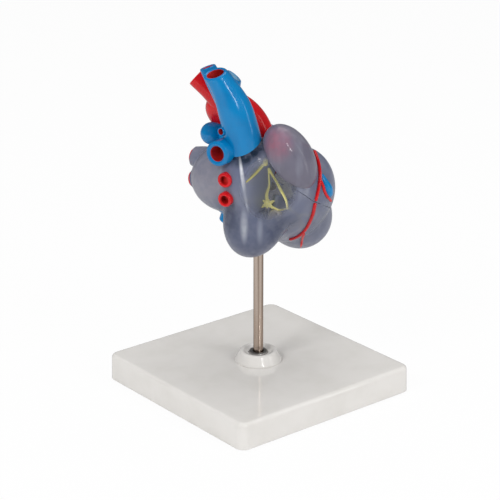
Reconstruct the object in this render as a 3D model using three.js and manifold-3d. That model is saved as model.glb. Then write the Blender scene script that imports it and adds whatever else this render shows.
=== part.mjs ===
import * as THREE from 'three';
import { mergeVertices } from 'three/addons/utils/BufferGeometryUtils.js';
import Module from 'manifold-3d';

const wasm = await Module();
wasm.setup();

// Human heart on a stand, in millimetres. +Z is up and the origin is the centre of the base's underside.
// Inside the heart group x points to the front of the heart, y to its left side.

// Stand
const baseSide = 120;
const baseHeight = 15.4;
const baseDraft = 2.6;
const baseCorner = 5;
const baseEdgeRound = 1.8;
const baseWall = 3;
const baseRib = 2;
const ribDepth = 7;
const bossDiameter = 17;
const footDiameter = 11;
const footHeight = 2.4;
const footSunk = 1.2;
const footInset = 14;
const footStandOut = 0.9;
const collarFoot = 26.5;
const collarNeck = 19.4;
const collarHeight = 4.4;
const collarDish = 1.4;
const ferruleDiameter = 10.4;
const ferruleHeight = 3.4;
const rodDiameter = 5.5;
const rodTop = 100;
const rodGrip = 19;
const nutAcross = 9;
const nutHeight = 3.2;
const nutLow = 1.6;
const washerDiameter = 12;
const washerHeight = 1;
const gap = 0.3;

// Heart
const heartTurn = -39;
const wall = 2.6;
const seamLean = 20.7;
const seamSplit = -5;
const pullLean = 8;
const auricleWall = 2;
const septumThickness = 4.5;
const socketDiameter = 10;
const socketCap = 3;
const cavaRadius = 9.3;
const cavaWall = 2.8;
const aortaRadius = 8;
const trunkRadius = 7.2;
const lungArteryRadius = 6.2;
const lungVeinRadius = 4.4;
const lowerCavaRadius = 7;
const vesselWall = 2.2;
const branchWall = 1.3;
const tricuspidRadius = 6.2;
const mitralRadius = 6.5;
const valveRing = 2;
const coronaryDiameter = 2.1;
const veinDiameter = 2.3;
const fibreDiameter = 1.7;
const magnetDiameter = 4;
const magnetLength = 2;
const pinDiameter = 2;
const pinLength = 7;
const bossWall = 1.4;
const bossHalf = 5;

// Finishes
const finishes = {
  shell: { color: 0x8d8da6, roughness: 0.25, metalness: 0, transparent: true, opacity: 0.6 },
  artery: { color: 0xc2161f, roughness: 0.28, metalness: 0 },
  vein: { color: 0x0f86cf, roughness: 0.28, metalness: 0 },
  nerve: { color: 0xd8cf52, roughness: 0.45, metalness: 0 },
  valve: { color: 0xe3ddca, roughness: 0.4, metalness: 0 },
  white: { color: 0xf0f0ee, roughness: 0.2, metalness: 0 },
  rubber: { color: 0x2c2c2e, roughness: 0.9, metalness: 0 },
  steel: { color: 0xb8b4ae, roughness: 0.25, metalness: 1 },
};

const vector = (point) => new THREE.Vector3(...point);
const rad = THREE.MathUtils.degToRad;

// Solids

function solid(geometry) {
  geometry.deleteAttribute('normal');
  geometry.deleteAttribute('uv');
  const merged = mergeVertices(geometry, 1e-4);
  const vertProperties = new Float32Array(merged.attributes.position.array);
  const triVerts = new Uint32Array(merged.index.array);
  return new wasm.Manifold(new wasm.Mesh({ numProp: 3, vertProperties, triVerts }));
}

function geometryOf(body) {
  const { vertProperties, triVerts } = body.getMesh();
  const geometry = new THREE.BufferGeometry();
  geometry.setAttribute('position', new THREE.BufferAttribute(vertProperties, 3));
  geometry.setIndex(new THREE.BufferAttribute(triVerts, 1));
  return geometry;
}

function union(bodies) {
  return bodies.reduce((joined, body) => joined.add(body));
}

function without(body, ...cutters) {
  return cutters.reduce((left, cutter) => left.subtract(cutter), body);
}

// A closed skin through rings of the same number of points, with a fan over each end.
function skin(rings) {
  const count = rings[0].length;
  const index = [];
  for (let start = 0; start < (rings.length - 1) * count; start += count) {
    for (let i = 0; i < count; i++) {
      const a = start + i;
      const b = start + (i + 1) % count;
      index.push(a, b, b + count, a, b + count, a + count);
    }
  }
  const last = (rings.length - 1) * count;
  for (let i = 1; i < count - 1; i++) {
    index.push(0, i + 1, i, last, last + i, last + i + 1);
  }
  const geometry = new THREE.BufferGeometry().setFromPoints(rings.flat());
  geometry.setIndex(index);
  return solid(geometry);
}

// The value at a share t of the way along a list of values spread evenly.
function along(values, t) {
  const place = t * (values.length - 1);
  const low = Math.min(Math.floor(place), values.length - 2);
  return THREE.MathUtils.lerp(values[low], values[low + 1], place - low);
}

// A round vessel through the points; its radius follows the list from the first end to the last.
function vessel(points, radii, sides = 14, steps = 10) {
  const path = new THREE.CatmullRomCurve3(points.map(vector));
  const frames = path.computeFrenetFrames(steps);
  const rings = [];
  for (let step = 0; step <= steps; step++) {
    const radius = along(radii, step / steps);
    const centre = path.getPointAt(step / steps);
    rings.push(Array.from({ length: sides }, (_, i) => {
      const angle = 2 * Math.PI * i / sides;
      return centre.clone()
        .addScaledVector(frames.normals[step], radius * Math.cos(angle))
        .addScaledVector(frames.binormals[step], radius * Math.sin(angle));
    }));
  }
  return skin(rings);
}

function rod(from, to, radius, sides = 20) {
  return vessel([from, to], [radius, radius], sides, 1);
}

// A solid turned about the vertical axis; the profile is a list of radius and height.
function turned(profile, sides = 28) {
  const outline = profile.map(([r, z]) => new THREE.Vector2(r, z));
  return solid(new THREE.LatheGeometry(outline, sides).rotateX(Math.PI / 2));
}

function disc(radius, low, high, sides = 20) {
  return turned([[0, low], [radius, low], [radius, high], [0, high]], sides);
}

function turnTo(facing) {
  return new THREE.Quaternion().setFromUnitVectors(new THREE.Vector3(0, 0, 1), vector(facing).normalize());
}

// Stand

function squareRing(half, corner, z) {
  const ring = [];
  for (let quarter = 0; quarter < 4; quarter++) {
    for (let step = 0; step <= 3; step++) {
      const angle = (quarter + step / 3) * Math.PI / 2;
      const x = (half - corner) * (quarter % 3 === 0 ? 1 : -1) + corner * Math.cos(angle);
      const y = (half - corner) * (quarter < 2 ? 1 : -1) + corner * Math.sin(angle);
      ring.push(new THREE.Vector3(x, y, z));
    }
  }
  return ring;
}

// The block inside the base's outer face, set in by a margin all round.
function baseBlock(margin, low, high) {
  const rings = [];
  const half = baseSide / 2 - margin;
  const sideTop = high - baseEdgeRound;
  const slope = baseDraft / baseHeight;
  rings.push(squareRing(half, baseCorner, low));
  for (let step = 0; step <= 3; step++) {
    const angle = step / 3 * Math.PI / 2;
    const inset = slope * (sideTop - low) + baseEdgeRound * (1 - Math.cos(angle));
    rings.push(squareRing(half - inset, baseCorner, sideTop + baseEdgeRound * Math.sin(angle)));
  }
  return skin(rings);
}

const footReach = baseSide / 2 - footInset;
const footPlaces = [[1, 1], [-1, 1], [-1, -1], [1, -1]].map(([x, y]) => [x * footReach, y * footReach, 0]);
const footTop = footHeight + footSunk;
const washerTop = nutLow + nutHeight + washerHeight;

function footDisc(margin, low, high) {
  return footPlaces.map((place) => disc(footDiameter / 2 + margin, low, high, 12).translate(place));
}

function basePlate() {
  const top = baseHeight - baseWall;
  const bite = 0.5;
  const shell = baseBlock(0, footStandOut, baseHeight).subtract(baseBlock(baseWall, -1, top));
  const boss = disc(bossDiameter / 2, washerTop + gap, top + bite);
  const ribs = [0, 1].map((turn) => {
    const rib = new THREE.BoxGeometry(baseSide, baseRib, ribDepth);
    rib.translate(0, 0, top + bite - ribDepth / 2).rotateZ(turn * Math.PI / 2);
    return solid(rib).intersect(baseBlock(baseWall / 2, -1, top + bite));
  });
  const plate = union([shell, boss, ...ribs, ...footDisc(2, footHeight, top + bite)]);
  const nutSpace = disc(washerDiameter / 2 + 1, -1, washerTop + gap);
  const bore = disc(rodDiameter / 2 + gap, -1, baseHeight + 1);
  return without(plate, nutSpace, bore, ...footDisc(gap / 2, -1, footTop));
}

function rodCollar() {
  const neck = collarNeck / 2;
  const bore = ferruleDiameter / 2 + gap / 2;
  const profile = [[bore, 0], [collarFoot / 2, 0]];
  for (let step = 0; step <= 3; step++) {
    const angle = step / 3 * Math.PI / 2;
    const flare = collarFoot / 2 - neck;
    profile.push([neck + flare * (1 - Math.sin(angle)), 0.5 + 1.8 * (1 - Math.cos(angle))]);
  }
  profile.push([neck, collarHeight - 0.5], [neck - 0.5, collarHeight], [neck - 1.4, collarHeight]);
  profile.push([bore + 1.2, collarHeight - collarDish], [bore, collarHeight - collarDish], [bore, 0]);
  return turned(profile, 20).translate([0, 0, baseHeight]);
}

function ferrule() {
  const bore = rodDiameter / 2 + gap;
  const edge = ferruleDiameter / 2;
  const bevel = 0.4;
  const profile = [[bore, 0], [edge, 0], [edge, ferruleHeight - bevel], [edge - bevel, ferruleHeight]];
  profile.push([bore, ferruleHeight], [bore, 0]);
  return turned(profile, 18).translate([0, 0, baseHeight]);
}

function steelRod() {
  const edge = rodDiameter / 2;
  const bevel = 0.8;
  const tip = [[edge, rodTop - bevel], [edge - bevel, rodTop], [0, rodTop]];
  return turned([[0, nutLow], [edge, nutLow], ...tip], 20);
}

const threadBore = disc(rodDiameter / 2 + gap / 3, -1, baseHeight, 16);

function rodNut() {
  const corner = nutAcross / Math.sqrt(3);
  return disc(corner, nutLow, nutLow + nutHeight, 6).subtract(threadBore);
}

function rodWasher() {
  return disc(washerDiameter / 2, nutLow + nutHeight, washerTop).subtract(threadBore);
}

// Heart wall: a sphere about the middle of the heart, pushed out in each direction to the farthest of
// these rounded lobes. A power mean lets the lobes run into each other with soft furrows between them.

const heartMiddle = new THREE.Vector3(4, 0, 114);
const blendPower = 16;
const lobes = {
  rightAtrium: { centre: [5, -6, 118], semi: [26, 18, 24], lean: [0, 0, 0] },
  atriumRoof: { centre: [-3.5, -10, 127], semi: [17, 14, 21], lean: [0, 0, 0] },
  inferiorPouch: { centre: [-2.2, -8, 102.2], semi: [17.5, 16, 24], lean: [0, 15, 0] },
  leftAtrium: { centre: [-14.5, 8, 119.5], semi: [22, 21, 19], lean: [0, 0, 0] },
  ventricles: { centre: [15, 13, 109], semi: [25, 26, 28], lean: [20, 10, 0] },
  rightVentricle: { centre: [22.3, 2, 116.2], semi: [18.6, 17, 21.8], lean: [0, 0, 0] },
  apex: { centre: [23, 20, 92.5], semi: [17.5, 18, 17.5], lean: [0, 0, 0] },
};
const auricle = { centre: [16.5, -12.3, 136.7], semi: [12.5, 13, 20.5], lean: [8, -28, 0] };
const leftAuricle = { centre: [-3, 26, 122], semi: [10, 7, 11], lean: [0, 20, 0] };

function leaning([x, y, z]) {
  return new THREE.Quaternion().setFromEuler(new THREE.Euler(rad(x), rad(y), rad(z), 'ZYX'));
}

// How far a ray from the middle of the heart runs before it leaves a lobe.
function reach({ centre, semi, lean }, direction) {
  const upright = leaning(lean).invert();
  const start = heartMiddle.clone().sub(vector(centre)).applyQuaternion(upright).divide(vector(semi));
  const step = direction.clone().applyQuaternion(upright).divide(vector(semi));
  const half = start.dot(step) / step.lengthSq();
  const inside = half * half - (start.lengthSq() - 1) / step.lengthSq();
  return inside > 0 ? Math.max(Math.sqrt(inside) - half, 0) : 0;
}

function heartRadius(direction) {
  const powers = Object.values(lobes).map((shape) => reach(shape, direction) ** blendPower);
  return powers.reduce((sum, power) => sum + power) ** (1 / blendPower);
}

function heartBody(grow = 0, around = 28, levels = 17) {
  const geometry = new THREE.SphereGeometry(1, around, levels).rotateX(Math.PI / 2);
  const points = geometry.attributes.position;
  for (let i = 0; i < points.count; i++) {
    const direction = new THREE.Vector3().fromBufferAttribute(points, i).normalize();
    const place = heartMiddle.clone().addScaledVector(direction, heartRadius(direction) + grow);
    points.setXYZ(i, place.x, place.y, place.z);
  }
  return solid(geometry);
}

function lobe({ centre, semi, lean }, grow = 0, around = 16, levels = 10) {
  const geometry = new THREE.SphereGeometry(1, around, levels).rotateX(Math.PI / 2);
  geometry.scale(...semi.map((size) => size + grow)).applyQuaternion(leaning(lean));
  return solid(geometry.translate(...centre));
}

const heart = heartBody();
const clearHeart = heartBody(gap);
const clearLobes = clearHeart.add(lobe(leftAuricle, gap));

// Walls between the chambers, each a flat plate through a point and square to a direction.

const valvePlane = { point: [12, 0, 118], facing: [0.8, 0.45, -0.4] };
const atrialSeptum = { point: [4, 4, 119], facing: [0.75, -0.66, 0] };
const ventricleSeptum = { point: [14, 4, 104], facing: [0.62, -0.77, 0.15] };
const big = 200;

// A plate between two distances from a plane, measured the way that the plane faces.
function plate({ point, facing }, low, high) {
  const box = new THREE.BoxGeometry(big, big, high - low).translate(0, 0, (low + high) / 2);
  return solid(box.applyQuaternion(turnTo(facing)).translate(...point));
}

// The hollows of the heart; clear is the distance kept from their walls.
function chambers(clear = 0) {
  const hollow = heartBody(-wall - clear, 16, 10);
  const half = wall / 2 + clear;
  const atria = hollow.intersect(plate(valvePlane, -big, -half));
  return {
    rightAtrium: atria.intersect(plate(atrialSeptum, half, big)),
    leftAtrium: atria.intersect(plate(atrialSeptum, -big, -half)),
    ventricles: hollow.intersect(plate(valvePlane, half, big)),
  };
}

const hollows = chambers();
const clearHollows = chambers(gap);

// Layout views: a view looks along a line of sight at the heart, with two axes across it.

const viewMiddle = vector([0, 0, 110]);

function view(sight) {
  const away = vector(sight).normalize();
  const right = away.clone().cross(new THREE.Vector3(0, 0, 1)).normalize();
  return { away, right, up: right.clone().cross(away) };
}

const fromRight = view([0, Math.cos(rad(seamLean)), -Math.sin(rad(seamLean))]);
const fromFront = view([-1, -1, 0]);
const fromLeft = view([0, -1, 0]);

function inView({ right, up, away }, [across, high], depth = 0) {
  return viewMiddle.clone()
    .addScaledVector(right, across)
    .addScaledVector(up, high)
    .addScaledVector(away, depth);
}

// Where a line of sight through a point of the view meets a body, at its first wall or at a later one.
function meet(body, where, point, wallNumber = 0) {
  const target = new THREE.Mesh(geometryOf(body), new THREE.MeshBasicMaterial({ side: THREE.DoubleSide }));
  const caster = new THREE.Raycaster(inView(where, point, -big), where.away);
  return caster.intersectObject(target)[wallNumber].point;
}

// The seam of the detachable front wall, as across and up in the view from the right. It rises under the
// auricle on the right side and in front of the great vessels on the left side.

const seamDiagonal = [[60, -14], [40, -5.5], [29.5, -2.3], [18.7, 4.8]];
const rightRise = [[12.5, 12], [10, 22], [10, 80]];
const leftRise = [[21, 8], [25, 14], [25, 80]];

function seamBlock(rise, grow, from, to) {
  const outline = [...seamDiagonal, ...rise].map(([u, v]) => new THREE.Vector2(u - grow, v - grow));
  outline.push(new THREE.Vector2(60, 80));
  const shape = new THREE.Shape(outline);
  const block = new THREE.ExtrudeGeometry(shape, { depth: to - from, bevelEnabled: false });
  const { right, up, away } = fromRight;
  const basis = new THREE.Matrix4().makeBasis(right, up, away.clone().negate()).setPosition(viewMiddle);
  return solid(block.translate(0, 0, -to).applyMatrix4(basis));
}

function frontRegion(grow = 0) {
  const rightHalf = seamBlock(rightRise, grow, -big, seamSplit + grow);
  return rightHalf.add(seamBlock(leftRise, grow, seamSplit - 1, big));
}

const front = frontRegion();
const clearFront = frontRegion(gap);

// Great vessels. Each has an outer run and a bore inside it, which goes on through the heart wall.

function resize(radii, amount) {
  return radii.map((radius) => radius + amount);
}

const cavaRoute = [
  [-24, -11, 187], [-19.5, -11, 179], [-14.5, -11, 168],
  [-11, -11, 158], [-9.6, -8, 147], [-8, -3, 134],
];
const cavaRadii = resize([-2.1, -0.9, -0.3, 0, 0.5, 1], cavaRadius);
const leftBranchRoute = [[-17, -9, 170], [-15.3, -7, 175], [-14, -4, 179.5], [-12.5, -1, 184]];
const leftBranchRadii = resize([-4.3, -4.5, -4.9, -4.9], cavaRadius);
const cavaCap = plate({ point: [-22, -11, 182.6], facing: [-0.3, -0.22, 0.92] }, 0, big);

function cavaOuter(grow = 0) {
  const leftBranch = vessel(leftBranchRoute.slice(0, 3), resize(leftBranchRadii.slice(0, 3), grow), 10, 2);
  return vessel(cavaRoute, resize(cavaRadii, grow), 12, 7).add(leftBranch);
}

const cavaBore = union([
  vessel(cavaRoute, resize(cavaRadii, -cavaWall), 8, 7),
  vessel(leftBranchRoute, resize(leftBranchRadii, -branchWall), 7, 3),
  rod([-14, -11, 151.5], [-24, -15, 151.5], 1.5, 6),
]);

const aortaRoute = [
  [1.5, 6, 132], [0, 5, 146], [-6.5, 4.5, 157.5],
  [-15, 7, 162], [-21.2, 11.5, 158], [-17.8, 14, 149],
];
const aortaRadii = resize([0, 0, 0, -0.5, -0.8, -1.2], aortaRadius);
const archRoutes = [
  { route: [[-16, 8, 157], [-25, 9, 167], [-33.8, 11, 175]], radii: [6.4, 5.4, 5] },
  { route: [[-16, 9, 160], [-19, 12, 174]], radii: [3.6, 3.4] },
  { route: [[-12, 6, 160], [-13.5, 8, 173]], radii: [3.6, 3.4] },
];

// A route carried on straight past its last point by a distance.
function runOn(route, extra) {
  const end = vector(route.at(-1));
  const step = end.clone().sub(vector(route.at(-2))).setLength(extra);
  return [...route, end.add(step).toArray()];
}

function aortaOuter(grow = 0) {
  return union([
    vessel(aortaRoute, resize(aortaRadii, grow), 12, 9),
    ...archRoutes.map(({ route, radii }) => vessel(route, resize(radii, grow), 8, 2)),
  ]);
}

function archBore({ route, radii }) {
  return vessel(runOn(route, 5), resize([...radii, radii.at(-1)], -branchWall), 6, 2);
}

const aortaBoreRoute = [[1.5, 6, 128], ...runOn(aortaRoute.slice(1), 3)];
const aortaBore = union([
  vessel(aortaBoreRoute, resize([...aortaRadii, aortaRadii.at(-1)], -vesselWall), 8, 9),
  ...archRoutes.map(archBore),
]);

const trunkRoute = [
  [19, 8, 126], [15, 13, 132], [8.5, 19, 137],
  [-5, 19, 141], [-17, 11, 143], [-26.5, 6, 145],
];
const trunkRadii = resize([0, 0, 0, -0.6, -1, -1.2], trunkRadius);
const trunkEnd = trunkRadii.at(-1);
const rearBranchRoute = [[-10, 13, 143], [-15, 4, 143.5], [-18, -3, 143.5]];
const rearBranchRadii = resize([-1.2, -1, -0.8], lungArteryRadius);

function trunkOuter(grow = 0) {
  const semi = [trunkEnd - 0.8, trunkEnd, trunkEnd];
  const endLobe = { centre: trunkRoute.at(-1), semi, lean: [0, 0, 0] };
  return union([
    vessel(trunkRoute, resize(trunkRadii, grow), 12, 8),
    lobe(endLobe, grow, 12, 7),
    vessel(rearBranchRoute, resize(rearBranchRadii, grow), 10, 2),
  ]);
}

const trunkBore = vessel(trunkRoute, resize(trunkRadii, -vesselWall), 8, 8);
const lungArteryRoute = [[-14, -9.5, 142.5], [-22.3, -17.5, 142]];
const clearCava = cavaOuter(gap);
const clearAorta = aortaOuter(gap);
const clearTrunk = trunkOuter(gap);

const lowerCavaRoute = [[-10, 3, 110], [-14.5, 2.5, 96]];
const lungVeins = {
  right_upper_pulmonary_vein: [[-12, -9, 127.5], [-18, -20, 127]],
  right_lower_pulmonary_vein: [[-11.5, -9, 117], [-17.3, -20, 116.4]],
  left_upper_pulmonary_vein: [[-25, 16, 126], [-31.4, 21, 126.4]],
  left_lower_pulmonary_vein: [[-27, 15, 116.5], [-34, 19, 115.4]],
};

function beyond([from, to], extra) {
  const step = vector(to).sub(vector(from)).setLength(extra);
  return [vector(from).sub(step).toArray(), vector(to).add(step).toArray()];
}

// Rod socket: a sleeve closed at its top, let into the underside of the heart.
const socketLow = 81;
const socketTop = socketLow + rodGrip + gap + socketCap;
const socketHole = disc(socketDiameter / 2 + gap, socketLow - 20, socketTop + gap);

function rodSocket() {
  const bore = disc(rodDiameter / 2 + gap, socketLow - 1, socketLow + rodGrip + gap);
  return disc(socketDiameter / 2, socketLow, socketTop).subtract(bore);
}

// Magnets meet across the seam, pins stand along the pull; both sit in bosses on the inside of the wall.

const pull = inView(fromRight, [Math.cos(rad(pullLean)), Math.sin(rad(pullLean))]).sub(viewMiddle);
const seamNormal = inView(fromRight, [7.1, 10.8]).sub(viewMiddle).normalize();

// A place on the seam near the wall: side is -1 for the right of the heart and 1 for its left.
function seamPlace([across, high], side, inset) {
  const { away } = fromRight;
  const hits = new THREE.Raycaster(inView(fromRight, [across, high]), away.clone().multiplyScalar(side));
  const shell = new THREE.Mesh(geometryOf(heart), new THREE.MeshBasicMaterial({ side: THREE.DoubleSide }));
  const [hit] = hits.intersectObject(shell);
  return inView(fromRight, [across, high], side * (hit.distance - inset));
}

const bossRadius = magnetDiameter / 2 + gap + bossWall;
const magnetInset = wall + bossRadius - 1.9;
const pinInset = wall + bossRadius - 0.3;
const magnetPlaces = [-1, 1].map((side) => seamPlace([22.5, 2.5], side, magnetInset));
const pinPlaces = [-1, 1].map((side) => seamPlace([30.5, -2.7], side, pinInset));

function bar(place, axis, radius, low, high, sides = 12) {
  const at = (reachAlong) => place.clone().addScaledVector(axis, reachAlong).toArray();
  return rod(at(low), at(high), radius, sides);
}

const bosses = [
  ...magnetPlaces.map((place) => bar(place, seamNormal, bossRadius, -bossHalf, bossHalf)),
  ...pinPlaces.map((place) => bar(place, pull, bossRadius, -bossHalf - 1, bossHalf + 1)),
];
const magnetRest = gap / 2 + 0.1;
const magnetEnd = magnetRest + magnetLength;
const magnetPockets = magnetPlaces.map((place) => (
  bar(place, seamNormal, magnetDiameter / 2 + gap, -magnetEnd - gap, magnetEnd + gap)));
const pinHoles = pinPlaces.map((place) => (
  bar(place, pull, pinDiameter / 2 + gap, -pinLength / 2 - gap, pinLength / 2 + 2 * gap)));

// Septum between the ventricles: a plate inside the ventricles' hollow, cut back at the seam.

const septum = plate(ventricleSeptum, -septumThickness / 2, septumThickness / 2)
  .intersect(clearHollows.ventricles)
  .subtract(clearFront);

// Places on the septum: down towards the apex, across it, and off its face on the side of a ventricle.
const septumFace = vector(ventricleSeptum.facing).normalize();
const septumDown = new THREE.Vector3(8, 18, -22).projectOnPlane(septumFace).normalize();
const septumAcross = septumFace.clone().cross(septumDown);
function onSeptum([down, across], off) {
  return vector(ventricleSeptum.point)
    .addScaledVector(septumDown, down)
    .addScaledVector(septumAcross, across)
    .addScaledVector(septumFace, off)
    .toArray();
}

// Valves: a ring with leaves that lean together into the chamber beyond, split by a slit between leaves.

function valve({ radius, leaves, depth, point, facing }) {
  const inner = radius - valveRing;
  const tip = inner * 0.55;
  const profile = [[radius, -1], [radius, 1], [tip, depth], [tip - 0.9, depth], [inner, 0.2], [inner, -1]];
  const ring = turned([...profile, profile[0]], 14);
  const slits = Array.from({ length: leaves }, (_, i) => {
    const slit = new THREE.BoxGeometry(radius, 0.7, depth).translate(radius / 2, 0, depth / 2 + 1.2);
    return solid(slit.rotateZ(2 * Math.PI * i / leaves));
  });
  const placed = new THREE.Matrix4().compose(vector(point), turnTo(facing), new THREE.Vector3(1, 1, 1));
  return without(ring, ...slits).transform(placed.elements);
}

const { facing } = valvePlane;
const valves = {
  tricuspid_valve: { radius: tricuspidRadius, leaves: 3, depth: 6, point: [8.4, -8, 100.1], facing },
  mitral_valve: { radius: mitralRadius, leaves: 2, depth: 7, point: [2.1, 14, 114], facing },
};

function valveBar({ radius, point }, low, high) {
  return bar(vector(point), vector(facing).normalize(), radius + gap, low, high, 14);
}

const valveSpaces = Object.values(valves).map((shape) => valveBar(shape, -2, shape.depth + 1));
const valveHoles = Object.values(valves).map((shape) => valveBar(shape, -6, 6));

// Vessels laid on the heart: a tube through places on the wall, with its underside cut to the wall.

function laid(where, points, diameter, steps = 12) {
  const radius = diameter / 2;
  const line = new THREE.SplineCurve(points.map(([u, v]) => new THREE.Vector2(u, v)));
  const route = line.getSpacedPoints(steps).map(({ x, y }) => (
    meet(heart, where, [x, y]).addScaledVector(where.away, -radius / 2).toArray()));
  return vessel(route, [radius, radius], 6, steps).subtract(clearLobes);
}

const rightCoronaryLine = [
  [29.5, 25.1], [31.6, 18], [32.2, 12.1], [31.5, 5], [29.9, -2.2],
  [28.5, -9], [24.6, -17.1], [20.5, -20.5], [16.5, -21.9],
];
const marginalLine = [[24.2, -19.6], [23.6, -22.5], [23.2, -26]];
const conusLine = [[33.4, 8.4], [35, 2], [37.3, -1.6]];
const anteriorVeinLine = [[34.2, 14], [35.8, 8], [38, 2.2]];
const leftAnteriorLine = [[-6, 22], [-8, 12], [-5, -2], [0, -15], [5, -27]];
const circumflexLine = [[-12, 12], [-9, 2], [-1, -3], [6, -9]];
const greatVeinLine = [[-1, 20], [-3, 10], [0, -3], [5, -14], [9, -24]];
const coronarySinusLine = [[4, -2], [9, -5], [13, -9]];

const rightCoronary = laid(fromRight, rightCoronaryLine, coronaryDiameter, 15);
const marginalArtery = laid(fromRight, marginalLine, coronaryDiameter, 3);
const conusArtery = laid(fromRight, conusLine, coronaryDiameter, 4);
const anteriorVein = laid(fromRight, anteriorVeinLine, veinDiameter, 4);
const leftAnterior = laid(fromFront, leftAnteriorLine, coronaryDiameter);
const circumflex = laid(fromLeft, circumflexLine, coronaryDiameter, 8);
const greatVein = laid(fromFront, greatVeinLine, veinDiameter);
const coronarySinus = laid(fromLeft, coronarySinusLine, veinDiameter + 1, 5);

// Conducting system: fibres laid on the inner wall of the right atrium and down the faces of the septum.

const fibreRadius = fibreDiameter / 2;
const nodePlaces = {
  sinus: [3.5, 19],
  posterior: [-6.7, 8.1],
  valve: [6, -4.4],
};

function inAtrium(point) {
  return meet(hollows.rightAtrium, fromRight, point, 1).addScaledVector(fromRight.away, -0.5).toArray();
}

function tract(points, steps = 7) {
  const fibre = vessel(points.map(inAtrium), [fibreRadius, fibreRadius], 6, steps);
  return fibre.intersect(clearHollows.rightAtrium);
}

function node(point, semi, grow = 0) {
  const bead = lobe({ centre: inAtrium(point), semi, lean: [0, 20, 0] }, grow, 10, 6);
  return bead.intersect(clearHollows.rightAtrium);
}

const sinusSize = [2.4, 1.6, 3.2];
const valveNodeSize = [2.6, 1.8, 2.6];
const nodeSpaces = [node(nodePlaces.sinus, sinusSize, gap), node(nodePlaces.valve, valveNodeSize, gap)];
const tracts = {
  posterior_tract: [[1.6, 17.4], [-2, 13], nodePlaces.posterior],
  middle_tract: [[5.4, 11], [6.3, 8], [4.7, 1.6], [5.4, -2.4]],
  anterior_tract: [[5.2, 16.2], [8.5, 11.4], [12.3, 3.2], [14.5, -3.3]],
};

// The bundle runs from the node through the wall between atrium and ventricles to the top of the septum.
const bundleEnd = onSeptum([1, 0], septumThickness / 2 + 1.2);
const bundleRoute = [inAtrium([8.2, -5.2]), inAtrium([10.5, -6.4]), bundleEnd];

// The branches fork over a face of the septum, at a distance off its middle.
const twigs = [
  [[6, 0.8], [9, 1], [14, 0], [20, -1.5]],
  [[9, 1], [13, 4.5], [17, 6]],
  [[12, 0.2], [16, -4], [19, -6.5]],
];
const branchOff = septumThickness / 2 + fibreRadius + gap / 2;

function branch(off) {
  const paths = twigs.map((twig) => twig.map((point) => onSeptum(point, off)));
  const fibres = paths.map((path) => vessel(path, [fibreRadius, fibreRadius], 6, path.length));
  return union(fibres).intersect(clearHollows.ventricles).subtract(clearFront);
}

// Heart shells

const shellBlank = without(heart, hollows.rightAtrium, hollows.leftAtrium, hollows.ventricles);
const bossed = shellBlank.add(union(bosses).intersect(heart));
const cavaHoleRadius = cavaRadius - cavaWall;
const lungVeinBore = lungVeinRadius - vesselWall;
const trunkHoleRadius = trunkRadius - vesselWall - 0.4;
const bundleHole = vessel(bundleRoute, [fibreRadius + gap, fibreRadius + gap], 8, 6);
const rearHoles = [
  vessel(cavaRoute.slice(-3), [cavaHoleRadius, cavaHoleRadius], 10, 3),
  disc(aortaRadius - vesselWall, -6, 12, 10).translate(aortaRoute[0]),
  rod(...beyond(trunkRoute.slice(0, 2), 2), trunkHoleRadius, 10),
  rod(...lowerCavaRoute, lowerCavaRadius - vesselWall, 10),
  ...Object.values(lungVeins).map((ends) => rod(...beyond(ends, 4), lungVeinBore, 10)),
  ...valveHoles,
  socketHole,
  bundleHole,
];

const root = new THREE.Group();
const heartGroup = new THREE.Group();
const frontGroup = new THREE.Group();
heartGroup.position.z = rodTop - rodGrip - socketLow;
heartGroup.rotation.z = rad(heartTurn);
root.add(heartGroup);
heartGroup.add(frontGroup);

function add(group, name, body, finish) {
  const geometry = geometryOf(body);
  geometry.computeVertexNormals();
  const mesh = new THREE.Mesh(geometry, new THREE.MeshStandardMaterial(finishes[finish]));
  mesh.name = name;
  group.add(mesh);
}

// Stand pieces
add(root, 'base_plate', basePlate(), 'white');
footPlaces.forEach((place, i) => {
  add(root, `rubber_foot_${i + 1}`, disc(footDiameter / 2, 0, footTop, 12).translate(place), 'rubber');
});
add(root, 'rod_collar', rodCollar(), 'white');
add(root, 'collar_ferrule', ferrule(), 'steel');
add(root, 'stand_rod', steelRod(), 'steel');
add(root, 'rod_nut', rodNut(), 'steel');
add(root, 'rod_washer', rodWasher(), 'steel');

// Heart body
const seamHoles = [...magnetPockets, ...pinHoles];
add(heartGroup, 'rear_shell', without(bossed, clearFront, ...rearHoles, ...seamHoles), 'shell');
add(heartGroup, 'ventricular_septum', without(septum, ...valveSpaces, bundleHole), 'shell');
add(heartGroup, 'rod_socket', rodSocket(), 'white');

// Great vessels
add(heartGroup, 'superior_vena_cava', without(cavaOuter(), cavaCap, cavaBore, clearHeart), 'vein');
add(heartGroup, 'aorta', without(aortaOuter(), aortaBore, clearHeart, clearCava), 'artery');
const trunk = without(trunkOuter(), trunkBore, clearHeart, clearCava, clearAorta);
add(heartGroup, 'pulmonary_trunk', trunk, 'vein');
const lungArtery = rod(...lungArteryRoute, lungArteryRadius, 16);
const lungArteryBore = rod(...beyond(lungArteryRoute, 3), lungArteryRadius - vesselWall, 12);
const lungArteryStub = without(lungArtery, lungArteryBore, clearHeart, clearCava, clearTrunk);
add(heartGroup, 'right_pulmonary_artery', lungArteryStub, 'vein');
for (const [name, ends] of Object.entries(lungVeins)) {
  const stub = rod(...ends, lungVeinRadius, 12);
  add(heartGroup, name, without(stub, rod(...beyond(ends, 4), lungVeinBore, 8), clearHeart), 'artery');
}
const lowerCava = rod(...lowerCavaRoute, lowerCavaRadius, 16);
add(heartGroup, 'inferior_vena_cava', lowerCava.subtract(clearHeart), 'vein');
const auriclePouch = lobe(leftAuricle).subtract(lobe(leftAuricle, -auricleWall, 12, 8));
add(heartGroup, 'left_auricle', without(auriclePouch, clearHeart, clearTrunk), 'shell');

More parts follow.
